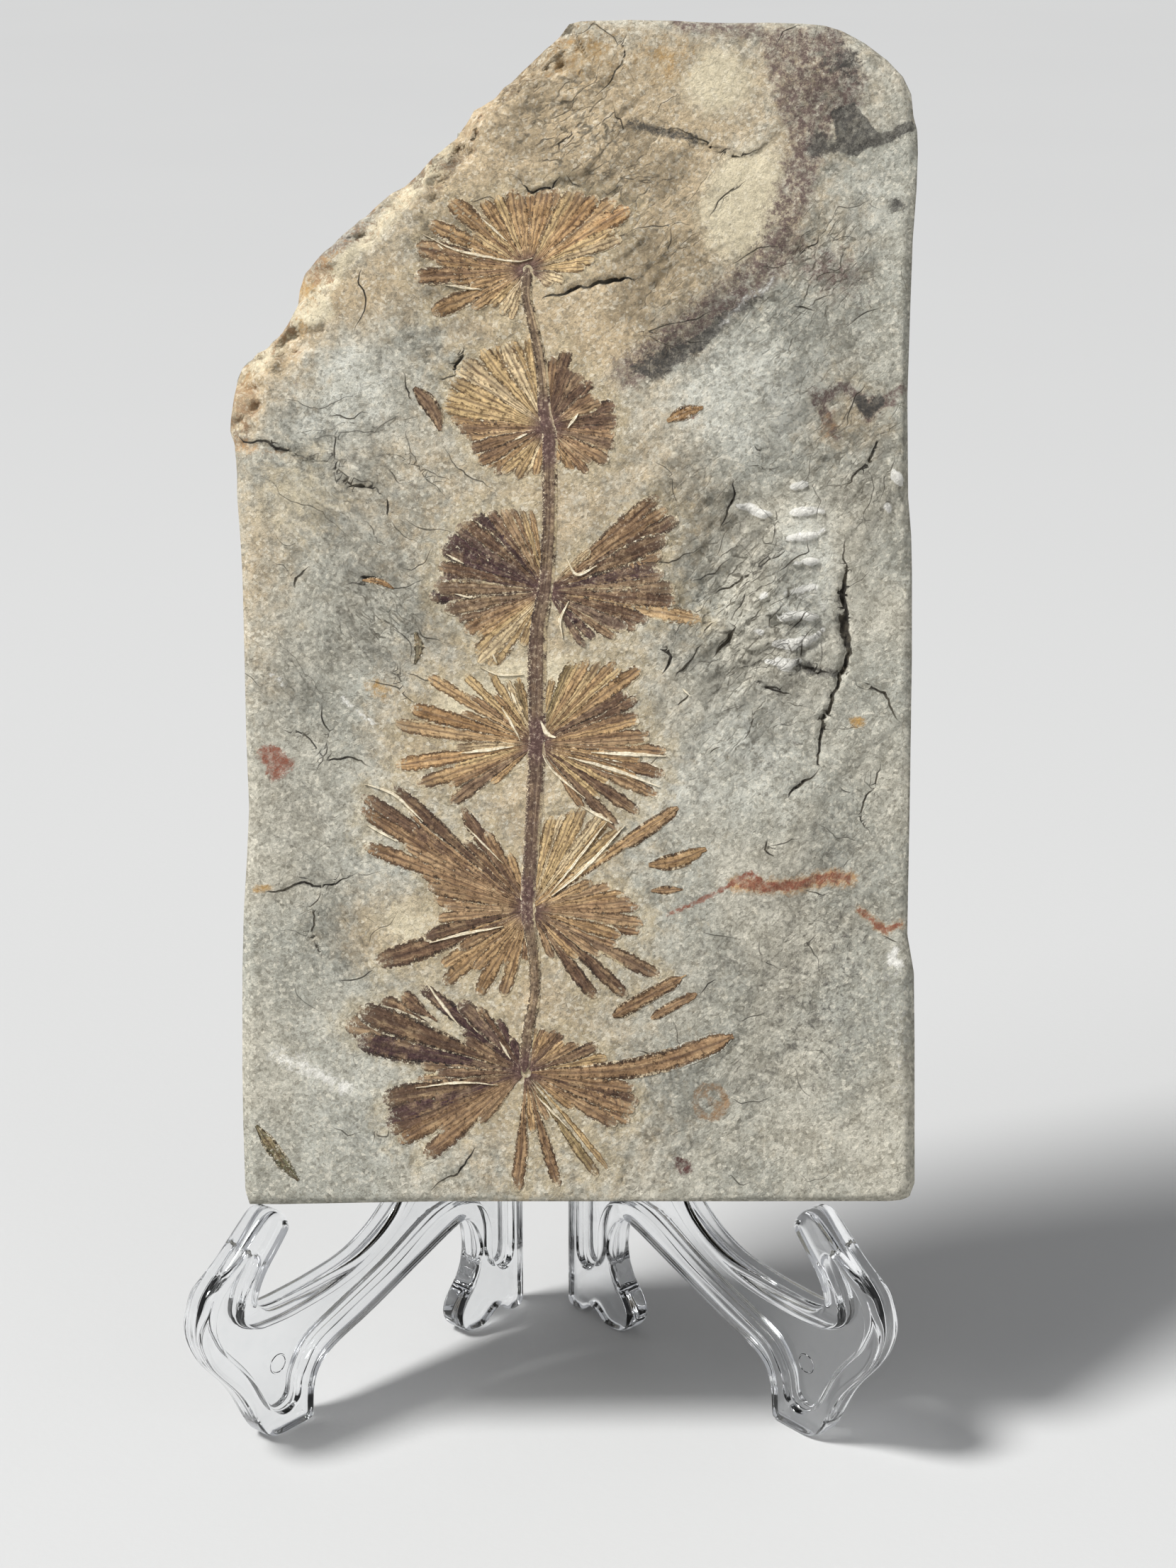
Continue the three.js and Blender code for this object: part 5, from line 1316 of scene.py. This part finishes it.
def strips_on_stone(name, rows, dome, material, cells=7, spacing=0.5, dark_at=()):
    """One piece of many strips: a line, half widths along it, a taper, an ink and any fuzz."""
    points, faces = [], []
    values = {}
    for line, half, taper, ink_name, *fuzz in rows:
        middle = smooth_line(line, spacing)
        run = np.gradient(middle, axis=0)
        run /= np.hypot(*run.T)[:, None]
        share = np.linspace(0, 1, len(middle))
        half = np.interp(share, np.linspace(0, 1, np.size(half)), np.atleast_1d(half))
        width = half * np.clip(np.minimum(share, 1 - share) / taper, 0.12, 1) ** 0.6
        reach = np.linspace(-1, 1, cells)
        x = middle[:, 0, None] - run[:, 1, None] * width[:, None] * reach
        y = middle[:, 1, None] + run[:, 0, None] * width[:, None] * reach
        first = sum(len(p) for p in points)
        faces += [tuple(q[::-1]) for q in faces_of_grid(len(middle), cells, first)]
        points.append(on_plate(x, y, HOVER).reshape(-1, 3))
        dark = np.zeros(x.shape)
        for dark_x, dark_y, dark_reach, amount in dark_at:
            away = np.hypot(x - dark_x, y - dark_y) / dark_reach
            dark = np.maximum(dark, amount * np.clip(1.4 - 1.4 * away, 0, 1))
        for key, value in (
            ("across", reach), ("near_node", dark), ("along", 0.8 * share[:, None]),
            ("chance", rng.random()), ("fuzz", fuzz[0] if fuzz else USUAL_STRIP_FUZZ),
            ("lift", rng.uniform(0.02, 0.06) * MM),
        ):
            values.setdefault(key, []).extend(np.broadcast_to(value, x.shape).ravel())
        values.setdefault("ink", []).extend([INKS[ink_name]] * x.size)
    start = start_from(name, np.vstack(points), values, faces=faces)
    return strip.run(start, dome, STRIP_FRAY, material)


stem_rows = [(STEM, STEM_HALF, 0.01, "wood", 0.55)]
fossil(strips_on_stone("stem", stem_rows, 0.16, film.material, cells=11, dark_at=STEM_DARK))

# ---- The loose leaves -----------------------------------------------------------------------
# Leaves of the same brown film that broke off the plant before it was buried. They lie flat on
# the stone, most of them to the right of the stem.

LOOSE_LEAVES = [  # line, half width or widths, share that tapers, ink and any fuzz
    ([(4.2, 24.7), (9, 27.4), (13.3, 29.8)], 0.95, 0.12, "brown"),
    ([(9.3, 24.4), (12.4, 26.2), (15.4, 27.7)], 0.7, 0.15, "brown"),
    ([(9.2, 27.6), (14, 30.2)], 0.25, 0.3, "tan"),
    ([(9, 44.8), (12.8, 45.4), (16.6, 47)], 1.1, 0.3, "tan"),
    ([(9.3, 41.4), (13.5, 41.6)], 0.6, 0.4, "brown"),
    ([(-7, 38.9), (-2, 42.6), (4, 46.6), (8.2, 49.4), (12.6, 52.4)], 0.75, 0.12, "tan"),
    ([(5.4, 47.2), (8.8, 49.6), (12.9, 52.4)], 1, 0.15, "brown"),
    ([(-6.6, 17.2), (0, 17.2), (6, 17.6), (12, 19), (17, 20.8), (20.2, 22.1)], [0.6, 0.9, 1.3, 1.5, 1.5,
        1.4], 0.1, "brown"),
    ([(4.4, 17.4), (9.5, 18.1), (14.5, 19.8), (19.8, 22)], 1.1, 0.2, "brown"),
    ([(-22.3, 108.3), (-20.6, 106.6), (-19.3, 104.6), (-18.8, 102.6)], 1.1, 0.3, "umber"),
    ([(-29.2, 82.8), (-27, 82.6), (-25, 81.6)], 0.45, 0.3, "ochre"),
    ([(-22.1, 75.8), (-21.6, 73.6), (-22.2, 71.6)], 0.75, 0.5, "slate"),
    ([(-43.2, 10.2), (-41.2, 7.4), (-39.4, 4.9), (-37.6, 2.9)], 0.95, 0.3, "moss", 0.9),
    ([(11.4, 103.8), (13.6, 104.9), (16.2, 105.6)], 0.95, 0.4, "ochre", 0.7),
    ([(-0.9, 63.8), (0, 64.6), (0.8, 64.7)], 0.7, 0.5, "plum", 0.2),
]
fossil(strips_on_stone("loose_leaves", LOOSE_LEAVES, 0.06, film.material))

# ---- The pale ridges ------------------------------------------------------------------------
# Narrow ridges of the stone itself, left standing between the leaves and beside the stem
# when the slab was split. Their pale bone colour is partly their own and partly painted
# highlight, for the light they catch. They are broadest round the fourth whorl.

PALE_RIDGES = [
    [(-21.1, 128.8), (-17.3, 126.9), (-13.4, 126), (-8.7, 125.2), (-6.5, 125.6)],
    [(-18.1, 121.9), (-13.4, 121.4)], [(-13.4, 131), (-9.8, 127.9)], [(-19.1, 127.4), (-18.4, 126.7)],
    [(-17.9, 86.1), (-15.6, 84.9)], [(-16.8, 80.9), (-14.6, 80.3)],
    [(-13.4, 71.1), (-11, 70.1), (-7.7, 70.2)], [(-11.8, 72.9), (-11.2, 71.6)],
    [(-10.6, 65.7), (-9.6, 64.2), (-8.1, 61.4)], [(-9.3, 67.8), (-8.6, 66.2)],
    [(-5.4, 64), (-4.6, 62.3), (-3.4, 61.8)], [(-5.2, 59.6), (-4.5, 58.2), (-2.8, 56.4), (0.5, 53.7)],
    [(-1.7, 59.2), (4.6, 57.4), (10.4, 55.2)], [(1.3, 59.8), (11.3, 59.3)], [(0, 52.6), (4.2, 50.4)],
    [(-16, 59.7), (-12, 60.2), (-9, 60.6)], [(-1.7, 79.9), (-2.8, 77.4), (-2.5, 75)],
    [(-1.9, 85.6), (-0.6, 83.4), (2.1, 84.6)], [(-20.2, 34.5), (-15, 35.8), (-10.4, 36.7)],
    [(-15.5, 50.1), (-10.4, 45)], [(5.8, 50.1), (0.4, 44.3), (-3.9, 40.7)],
    [(3.4, 50.6), (-1.2, 44.6), (-4.2, 41)], [(-22, 15.2), (-16, 15.9), (-11.1, 15.5)],
    [(-20.6, 29.2), (-18.6, 26.4), (-16.2, 23.4)], [(-10.8, 21.4), (-9.4, 19)], [(-6, 14.2), (-1.6, 9.6)],
    [(-28.8, 55.6), (-25, 54.2), (-21, 50.6)], [(-28.6, 50.2), (-24.6, 48)],
    [(-8.8, 101.4), (-7.2, 102.2)], [(-0.4, 104.8), (-1.8, 102.9)], [(13.4, 68.4), (14.6, 67.2)],
]
BROADEST_AT = 64
pale = Finish("pale_ridge")
pale_place = pale.plate_place()
chalk = pale.noise(pale_place, 2.0, 5, 0.7)
under = plain_stone(pale, pale_place)
# The bone ink is partly painted highlight on the ridges, broken by the stone's colour.
ridge_highlight_tint = pale.add("ShaderNodeAttribute", attribute_name="ink").outputs["Color"]
ridge_highlight_tint = pale.blend(pale.spread(chalk, 0.38, 0.6, 0, 0.75), ridge_highlight_tint, under)
pale_aside = pale.math("ABSOLUTE", pale.value("across"))
pale_rim = pale.math("MULTIPLY_ADD", pale.math("SUBTRACT", chalk, 0.5), 2.8, pale_aside)
ridge_highlight_tint = pale.blend(pale.spread(pale_rim, 0.45, 0.8), ridge_highlight_tint, under)
pale_bump = pale.add("ShaderNodeBump", {"Height": chalk, "Strength": 0.4, "Distance": 0.0002})
pale.surface(**{
    "Base Color": ridge_highlight_tint, "Roughness": pale.spread(chalk, 0.35, 0.65, 0.28, 0.55),
    "Specular IOR Level": 0.5, "Normal": pale_bump.outputs[0],
})
ridge_rows = []
for line in PALE_RIDGES:
    broad = 1.7 - min(abs(line[0][1] - BROADEST_AT) / 14, 0.7)
    ridge_rows.append((line, rng.uniform(0.14, 0.3) * broad, 0.5, "bone_highlight"))
ridges = strips_on_stone("pale_ridges", ridge_rows, 0.22, pale.material, cells=5, spacing=0.4)
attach(ridges, "left_half")

# ---- The stand ------------------------------------------------------------------------------
# Two mirrored halves moulded in clear polystyrene: a thin web inside a thick rounded rim.
# The left half has pegs under its knuckles, and they turn in the bored knuckles of the right
# half, so that the stand folds flat. An ejector pin has left a ring on each web.

HALF_ANGLE = math.radians(42)
RIM_BACK = 0.2  # of the rim, from the hinge plane
RIM_FRONT = 4.4
RECESS_DEPTH = 1.3
RIM_ROUND = 1.0
LIP_ROUND = 0.45  # of the recess's edges and corners
hinge_x, hinge_y = (value / MM for value in frame["joints"][0]["pos_m"][:2])

# Each stretch is a smooth curve on from the last one's end: out from the hinge, and up from
# the table. They go down the post, round the front foot and hook, and back over the seat arm.
HALF_STRETCHES = [
    [(4.2, 1.2)],
    [(4.5, 0.3), (5.2, 0)],
    [(7.3, 0)],
    [(8.3, 1.3), (9.4, 1.9), (10.7, 1.3), (12.4, 0)],
    [(15.6, 0)],
    [(17.6, 1.5), (18.3, 3.7), (17.2, 6), (15.2, 8.4), (14.1, 12), (14.4, 16)],
    [(15.4, 18.2), (17.2, 18.7), (25.2, 15.8), (35, 12), (41.5, 9.9)],
    [(44.8, 8.2), (46.4, 5.4), (46.9, 0)],
    [(53.8, 0)],
    [(56.3, 1.8), (60.1, 9.3), (64.9, 15.7), (66.8, 21.2), (65.3, 26.3)],
    [(60.8, 29.2), (56.4, 33), (53.9, 34.7), (51.2, 33.6), (49.8, 31)],
    [(51.9, 28.6), (54.6, 25.6), (56.2, 22.4), (55.6, 20.8), (52.6, 20.4)],
    [(44.7, 20.7), (37, 21.9), (30.3, 25.8), (26, 32)],
    [(23.4, 42), (19.6, 58), (15, 74), (10.4, 89), (6.9, 99.5)],
    [(5.8, 102.2), (4.2, 103)],
]
RECESS_STRETCHES = [
    [(6.9, 76)],
    [(7.6, 78.4), (9.4, 79.6), (10.9, 78)],
    [(12.3, 73.6), (16.8, 58), (20.5, 42), (22.6, 33)],
    [(26.6, 25.6), (33.4, 20.7), (40.6, 18.4), (50, 17.5), (56.4, 17.8)],
    [(59.3, 20), (58.8, 23.8), (57, 26.6), (55.7, 28.6)],
    [(56.7, 29.7), (59.5, 27.7), (62.6, 25), (63.8, 21.2), (62.2, 16.8)],
    [(57.6, 10.8), (54.4, 4.6), (52.2, 3.2), (49.9, 4.2), (49.4, 7.4)],
    [(46.4, 11.4), (40.6, 13.8), (31, 17.3), (22.6, 21.2), (17.6, 22.2)],
    [(13.2, 20.4), (11.2, 16), (11, 11), (9.4, 8.2), (7.6, 8.2), (6.9, 10)],
]
OUTLINE_STEP = 0.6
EASING_ROUNDS = 3


def moulded_loop(stretches):
    """An evenly stepped closed loop through the stretches, its corners eased."""
    curves = []
    start = stretches[-1][-1]
    for stretch in stretches:
        points = np.array([start, *stretch], float)
        curves.append(np.linspace(*points, 60) if len(points) == 2 else smooth_line(points, 0.25))
        start = stretch[-1]
    loop = np.vstack([curve[:-1] for curve in curves])
    loop = np.vstack([loop, loop[:1]])
    length = np.hypot(*np.diff(loop, axis=0).T).sum()
    loop = evenly_along(loop, round(length / OUTLINE_STEP) + 1)[:-1]
    for _ in range(EASING_ROUNDS):
        loop = (np.roll(loop, 1, 0) + 2 * loop + np.roll(loop, -1, 0)) / 4
    return loop


def outward_of(loop):
    """Directions out of a closed loop, whichever way it runs."""
    run = np.roll(loop, -1, 0) - np.roll(loop, 1, 0)
    out = np.stack([run[:, 1], -run[:, 0]], -1) / np.hypot(*run.T)[:, None]
    x, y = loop.T
    area = (x * np.roll(y, -1) - np.roll(x, -1) * y).sum()
    return out if area > 0 else -out


class Shell:
    """Points and faces of a moulding in its own plane: out, up and through."""

    def __init__(self):
        self.points, self.faces = [], []

    def ring(self, loop, through):
        first = len(self.points)
        self.points += [(x, y, through) for x, y in loop]
        return np.arange(first, first + len(loop))

    def band(self, near, far):
        self.faces += [(a, b, c, d) for a, b, c, d in zip(
            near, np.roll(near, -1), np.roll(far, -1), far)]

    def bands(self, rings):
        for near, far in zip(rings[:-1], rings[1:]):
            self.band(near, far)

    def fill(self, *rings):
        """A flat face inside the first ring and outside the others."""
        flat = [[Vector((*self.points[n][:2], 0)) for n in ring] for ring in rings]
        numbers = np.concatenate(rings)
        self.faces += [tuple(numbers[list(t)]) for t in tessellate_polygon(flat)]


def rounded_rings(shell, loop, out, low, high, radius, steps=5):
    """Rings round a plate's edge, from its low face to its high face."""
    rings = []
    for end, sign in ((low, 1), (high, -1)):
        angles = np.linspace(90, 0, steps) if sign > 0 else np.linspace(0, 90, steps)
        for angle in np.radians(angles):
            inset = radius * (1 - math.cos(angle))
            rings.append(shell.ring(loop - out * inset, end + sign * radius * (1 - math.sin(angle))))
    return rings


def make_plate(loop, low, high, radius, recess=None):
    """A plate with a rounded edge, and on both faces a recess down to a web."""
    shell = Shell()
    out = outward_of(loop)
    edge = rounded_rings(shell, loop, out, low, high, radius)
    shell.bands(edge)
    if recess is None:
        shell.fill(edge[0])
        shell.fill(edge[-1])
        return shell
    recess_out = outward_of(recess)
    quarter = [0, 30, 60, 90]
    for rim, face, sign in ((edge[0], low, 1), (edge[-1], high, -1)):
        rings = []
        for angle in np.radians(quarter[::-1]):
            grow = LIP_ROUND * (1 - math.cos(angle))
            down = LIP_ROUND * (1 - math.sin(angle))
            rings.append(shell.ring(recess + recess_out * grow, face + sign * down))
        for angle in np.radians(quarter):
            tuck = LIP_ROUND * (1 - math.cos(angle))
            down = RECESS_DEPTH - LIP_ROUND * (1 - math.sin(angle))
            rings.append(shell.ring(recess - recess_out * tuck, face + sign * down))
        shell.bands(rings)
        shell.fill(rim, rings[0])
        shell.fill(rings[-1])
    return shell


def make_turning(profile, sides=48):
    """A closed turning on the hinge axis, from (radius, height) points."""
    shell = Shell()
    angles = np.linspace(0, 2 * np.pi, sides, endpoint=False)
    rings = []
    for radius, height in profile:
        first = len(shell.points)
        if radius == 0:
            shell.points.append((0.0, height, 0.0))
            rings.append(np.full(sides, first))
        else:
            shell.points += [(radius * math.cos(a), height, radius * math.sin(a)) for a in angles]
            rings.append(np.arange(first, first + sides))
    if profile[0][0] > 0:  # it has a bore
        rings.append(rings[0])
    for near, far in zip(rings[:-1], rings[1:]):
        for k in range(sides):
            corners = [near[k], near[(k + 1) % sides], far[(k + 1) % sides], far[k]]
            shell.faces.append(tuple(dict.fromkeys(corners)))
    return shell


KNUCKLE_RADIUS = 3.4
KNUCKLE_ROUND = 0.35
BORE_RADIUS = 1.9
BORE_CHAMFER = 0.2
PEG_RADIUS = 1.6
PEG_LENGTH = 8
PEG_POINT = (0.4, 0.6)  # its chamfer, in and along
EAR_REACH = (2.5, 6.8)  # out from the hinge
EAR_LOW, EAR_HIGH = 0.22, 2.8
EAR_ROUND = 0.3


def ear_plate(bottom, top):
    """The flat ear that carries a knuckle."""
    near, far = EAR_REACH
    corners = [(near, bottom), (far, bottom), (far, top), (near, top)]
    sides = [np.linspace(a, b, max(2, round(math.dist(a, b) / 0.5)), endpoint=False)
             for a, b in zip(corners, corners[1:] + corners[:1])]
    return make_plate(np.vstack(sides), EAR_LOW, EAR_HIGH, EAR_ROUND)


def peg_knuckle(bottom, top):
    """A solid knuckle with a peg under it."""
    inner = KNUCKLE_RADIUS - KNUCKLE_ROUND
    peg_end, peg_full = bottom - PEG_LENGTH, bottom - (PEG_LENGTH - PEG_POINT[1])
    return make_turning([
        (0, peg_end), (PEG_RADIUS - PEG_POINT[0], peg_end), (PEG_RADIUS, peg_full),
        (PEG_RADIUS, bottom), (inner, bottom), (KNUCKLE_RADIUS, bottom + KNUCKLE_ROUND),
        (KNUCKLE_RADIUS, top - KNUCKLE_ROUND), (inner, top), (0, top),
    ])


def bored_knuckle(bottom, top):
    """A knuckle with a hole through it."""
    inner = KNUCKLE_RADIUS - KNUCKLE_ROUND
    flare = BORE_RADIUS + BORE_CHAMFER
    return make_turning([
        (BORE_RADIUS, bottom + BORE_CHAMFER), (flare, bottom), (inner, bottom),
        (KNUCKLE_RADIUS, bottom + KNUCKLE_ROUND), (KNUCKLE_RADIUS, top - KNUCKLE_ROUND),
        (inner, top), (flare, top), (BORE_RADIUS, top - BORE_CHAMFER),
    ])


EJECTOR_AT = (52.4, 10.6)
EJECTOR_RADIUS = 1.35
EJECTOR_PROUD = 0.14


def ejector_ring():
    """The fine raised ring that the ejector pin left on the web's front."""
    shell = Shell()
    angles = np.linspace(0, 2 * np.pi, 40, endpoint=False)
    circle = np.stack([np.cos(angles), np.sin(angles)], -1)
    rings = []
    for turn in np.radians(np.arange(0, 360, 60)):
        radius = EJECTOR_RADIUS + EJECTOR_PROUD * math.cos(turn)
        through = RIM_BACK + RECESS_DEPTH + EJECTOR_PROUD * math.sin(turn)
        rings.append(shell.ring(EJECTOR_AT + radius * circle, through))
    shell.bands([*rings, rings[0]])
    return shell


def stand_piece(name, shell, side):
    """The moulding as a piece on the left (-1) or right (1) of the hinge, faces outward."""
    out, up, through = np.array(shell.points).T
    s, c = math.sin(HALF_ANGLE), math.cos(HALF_ANGLE)
    x = hinge_x + side * (out * s + through * c)
    y = hinge_y - out * c + through * s
    piece = piece_from(name, MM * np.stack([x, y, up], -1), shell.faces, smooth=False)
    work = bmesh.new()
    work.from_mesh(piece.data)
    bmesh.ops.remove_doubles(work, verts=work.verts, dist=1e-7)
    bmesh.ops.recalc_face_normals(work, faces=work.faces)
    if work.calc_volume(signed=True) < 0:
        bmesh.ops.reverse_faces(work, faces=work.faces)
    work.to_mesh(piece.data)
    work.free()
    return piece


def mould_in_one(piece, others):
    """Joins the others to the piece, as one clean solid."""
    for other in others:
        union = piece.modifiers.new("join", "BOOLEAN")
        union.operation = "UNION"
        union.solver = "MANIFOLD"
        union.object = other
    graph = bpy.context.evaluated_depsgraph_get()
    mesh = bpy.data.meshes.new_from_object(piece.evaluated_get(graph), depsgraph=graph)
    piece.modifiers.clear()
    piece.data = mesh
    for other in others:
        bpy.data.objects.remove(other)


clear = Finish("clear_plastic")
clear_place = clear.add("ShaderNodeTexCoord").outputs["Object"]
ripple = clear.noise(clear_place, 140.0, 2, 0.4)
haze = clear.noise(clear_place, 420.0, 5, 0.7)
stretched = clear.add("ShaderNodeMapping", {"Vector": clear_place, "Scale": (900, 900, 160)})
scuff = clear.noise(stretched.outputs[0], 1.0, 4, 0.7)
clear_tint = clear.blend(
    clear.spread(haze, 0.45, 0.75, 0, 0.5), hue(252, 253, 254), hue(238, 241, 244))
clear_bump = clear.add("ShaderNodeBump", {"Height": ripple, "Strength": 0.12, "Distance": 0.0006})
clear.surface(**{
    "Base Color": clear_tint, "Roughness": clear.spread(scuff, 0.5, 0.78, 0.02, 0.14),
    "Transmission Weight": 1.0, "IOR": 1.58, "Normal": clear_bump.outputs[0],
})

half_loop = moulded_loop(HALF_STRETCHES)
half_loop[:, 1] = np.maximum(half_loop[:, 1], 0.0)
recess_loop = moulded_loop(RECESS_STRETCHES)
HALVES = {  # side, body, knuckle, and the bottoms and tops of its knuckles and tops of its ears
    "stand_left": (-1, "left_half", peg_knuckle, [(52.4, 61.6, 61.6), (96, 113.7, 102.4)]),
    "stand_right": (1, "right_half", bored_knuckle, [(42.4, 52, 52), (86, 95.6, 95.6)]),
}
for name, (side, body, knuckle, places) in HALVES.items():
    shell = make_plate(half_loop, RIM_BACK, RIM_FRONT, RIM_ROUND, recess_loop)
    half = stand_piece("clear_" + name, shell, side)
    fittings = [stand_piece("ejector_ring", ejector_ring(), side)]
    for bottom, top, ear_top in places:
        fittings.append(stand_piece("knuckle", knuckle(bottom, top), side))
        fittings.append(stand_piece("ear", ear_plate(bottom, ear_top), side))
    mould_in_one(half, fittings)
    half.data.materials.clear()
    half.data.materials.append(clear.material)
    half.data.shade_smooth()
    half.data.set_sharp_from_angle(angle=math.radians(38))
    even = half.modifiers.new("even_shading", "WEIGHTED_NORMAL")
    even.keep_sharp = True
    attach(half, body)
    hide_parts(name)

# ---- The studio -----------------------------------------------------------------------------
# A pale plain floor, lit by a broad window and a soft lamp from the upper left and by a wider
# lamp from the right. The camera looks square at the plate's face.

CAMERA_DISTANCE = 380
CAMERA_LENS = 65.56
CAMERA_SENSOR = 36
AIM_UP = 55.6  # on the plate's face
AIM_ACROSS = 0.9
FLOOR_RADIUS = 9.0  # in metres, like the places of the lights
FLOOR_SIDES = 96
WINDOW_POWER = 4.6
WINDOW_SPREAD = math.radians(14)
WINDOW_FROM = (-0.66, -0.2, 1.0)
AIR_STRENGTH = 0.45

floor_finish = Finish("studio_floor")
floor_place = floor_finish.add("ShaderNodeTexCoord").outputs["Object"]
cloud = floor_finish.noise(floor_place, 3.0, 3)
weave = floor_finish.noise(floor_place, 900.0, 2)
shade = floor_finish.blend(
    floor_finish.spread(cloud, 0.3, 0.7, 0, 0.06), hue(178, 178, 177), hue(190, 190, 188))
floor_bump = floor_finish.add("ShaderNodeBump", {"Height": weave, "Strength": 0.1, "Distance": 0.0002})
floor_finish.surface(**{"Base Color": shade, "Roughness": 0.6, "Normal": floor_bump.outputs[0]})

angles = np.linspace(0, 2 * np.pi, FLOOR_SIDES, endpoint=False)
floor_rim = np.stack([np.cos(angles), np.sin(angles), 0 * angles], -1) * FLOOR_RADIUS
floor = piece_from("studio_floor", floor_rim, [tuple(range(FLOOR_SIDES))], smooth=False)
floor.data.materials.append(floor_finish.material)


def soft_light(name, place, aim, size, power):
    """A square lamp at a place, turned to its aim, all in metres."""
    lamp = bpy.data.lights.new(name, "AREA")
    lamp.shape = "RECTANGLE"
    lamp.size = size
    lamp.size_y = size
    lamp.energy = power
    holder = bpy.data.objects.new(name, lamp)
    bpy.context.scene.collection.objects.link(holder)
    holder.location = place
    holder.rotation_euler = (Vector(aim) - Vector(place)).to_track_quat("-Z", "Y").to_euler()


window = bpy.data.objects.new("window_light", bpy.data.lights.new("window_light", "SUN"))
window.data.energy = WINDOW_POWER
window.data.angle = WINDOW_SPREAD
window.rotation_euler = Vector(WINDOW_FROM).to_track_quat("Z", "Y").to_euler()
bpy.context.scene.collection.objects.link(window)
soft_light("key_light", (-0.62, -0.35, 0.9), (0, 0, 0.09), 0.4, 3)
soft_light("fill_light", (0.9, -1.0, 0.6), (0, 0, 0.08), 0.9, 3)

world = bpy.data.worlds.new("studio_air")
world.use_nodes = True
air = world.node_tree.nodes["Background"].inputs
air["Color"].default_value = hue(232, 234, 238)
air["Strength"].default_value = AIR_STRENGTH
bpy.context.scene.world = world
bpy.context.scene.view_settings.view_transform = "Standard"

camera = bpy.data.objects.new("camera", bpy.data.cameras.new("camera"))
camera.data.lens = CAMERA_LENS
camera.data.sensor_width = CAMERA_SENSOR
aim = on_plate(AIM_ACROSS, AIM_UP)
camera.location = on_plate(AIM_ACROSS, AIM_UP, CAMERA_DISTANCE)
camera.rotation_euler = (Vector(aim) - camera.location).to_track_quat("-Z", "Y").to_euler()
camera.data.clip_start = 0.01
camera.data.clip_end = 50
bpy.context.scene.collection.objects.link(camera)
bpy.context.scene.camera = camera
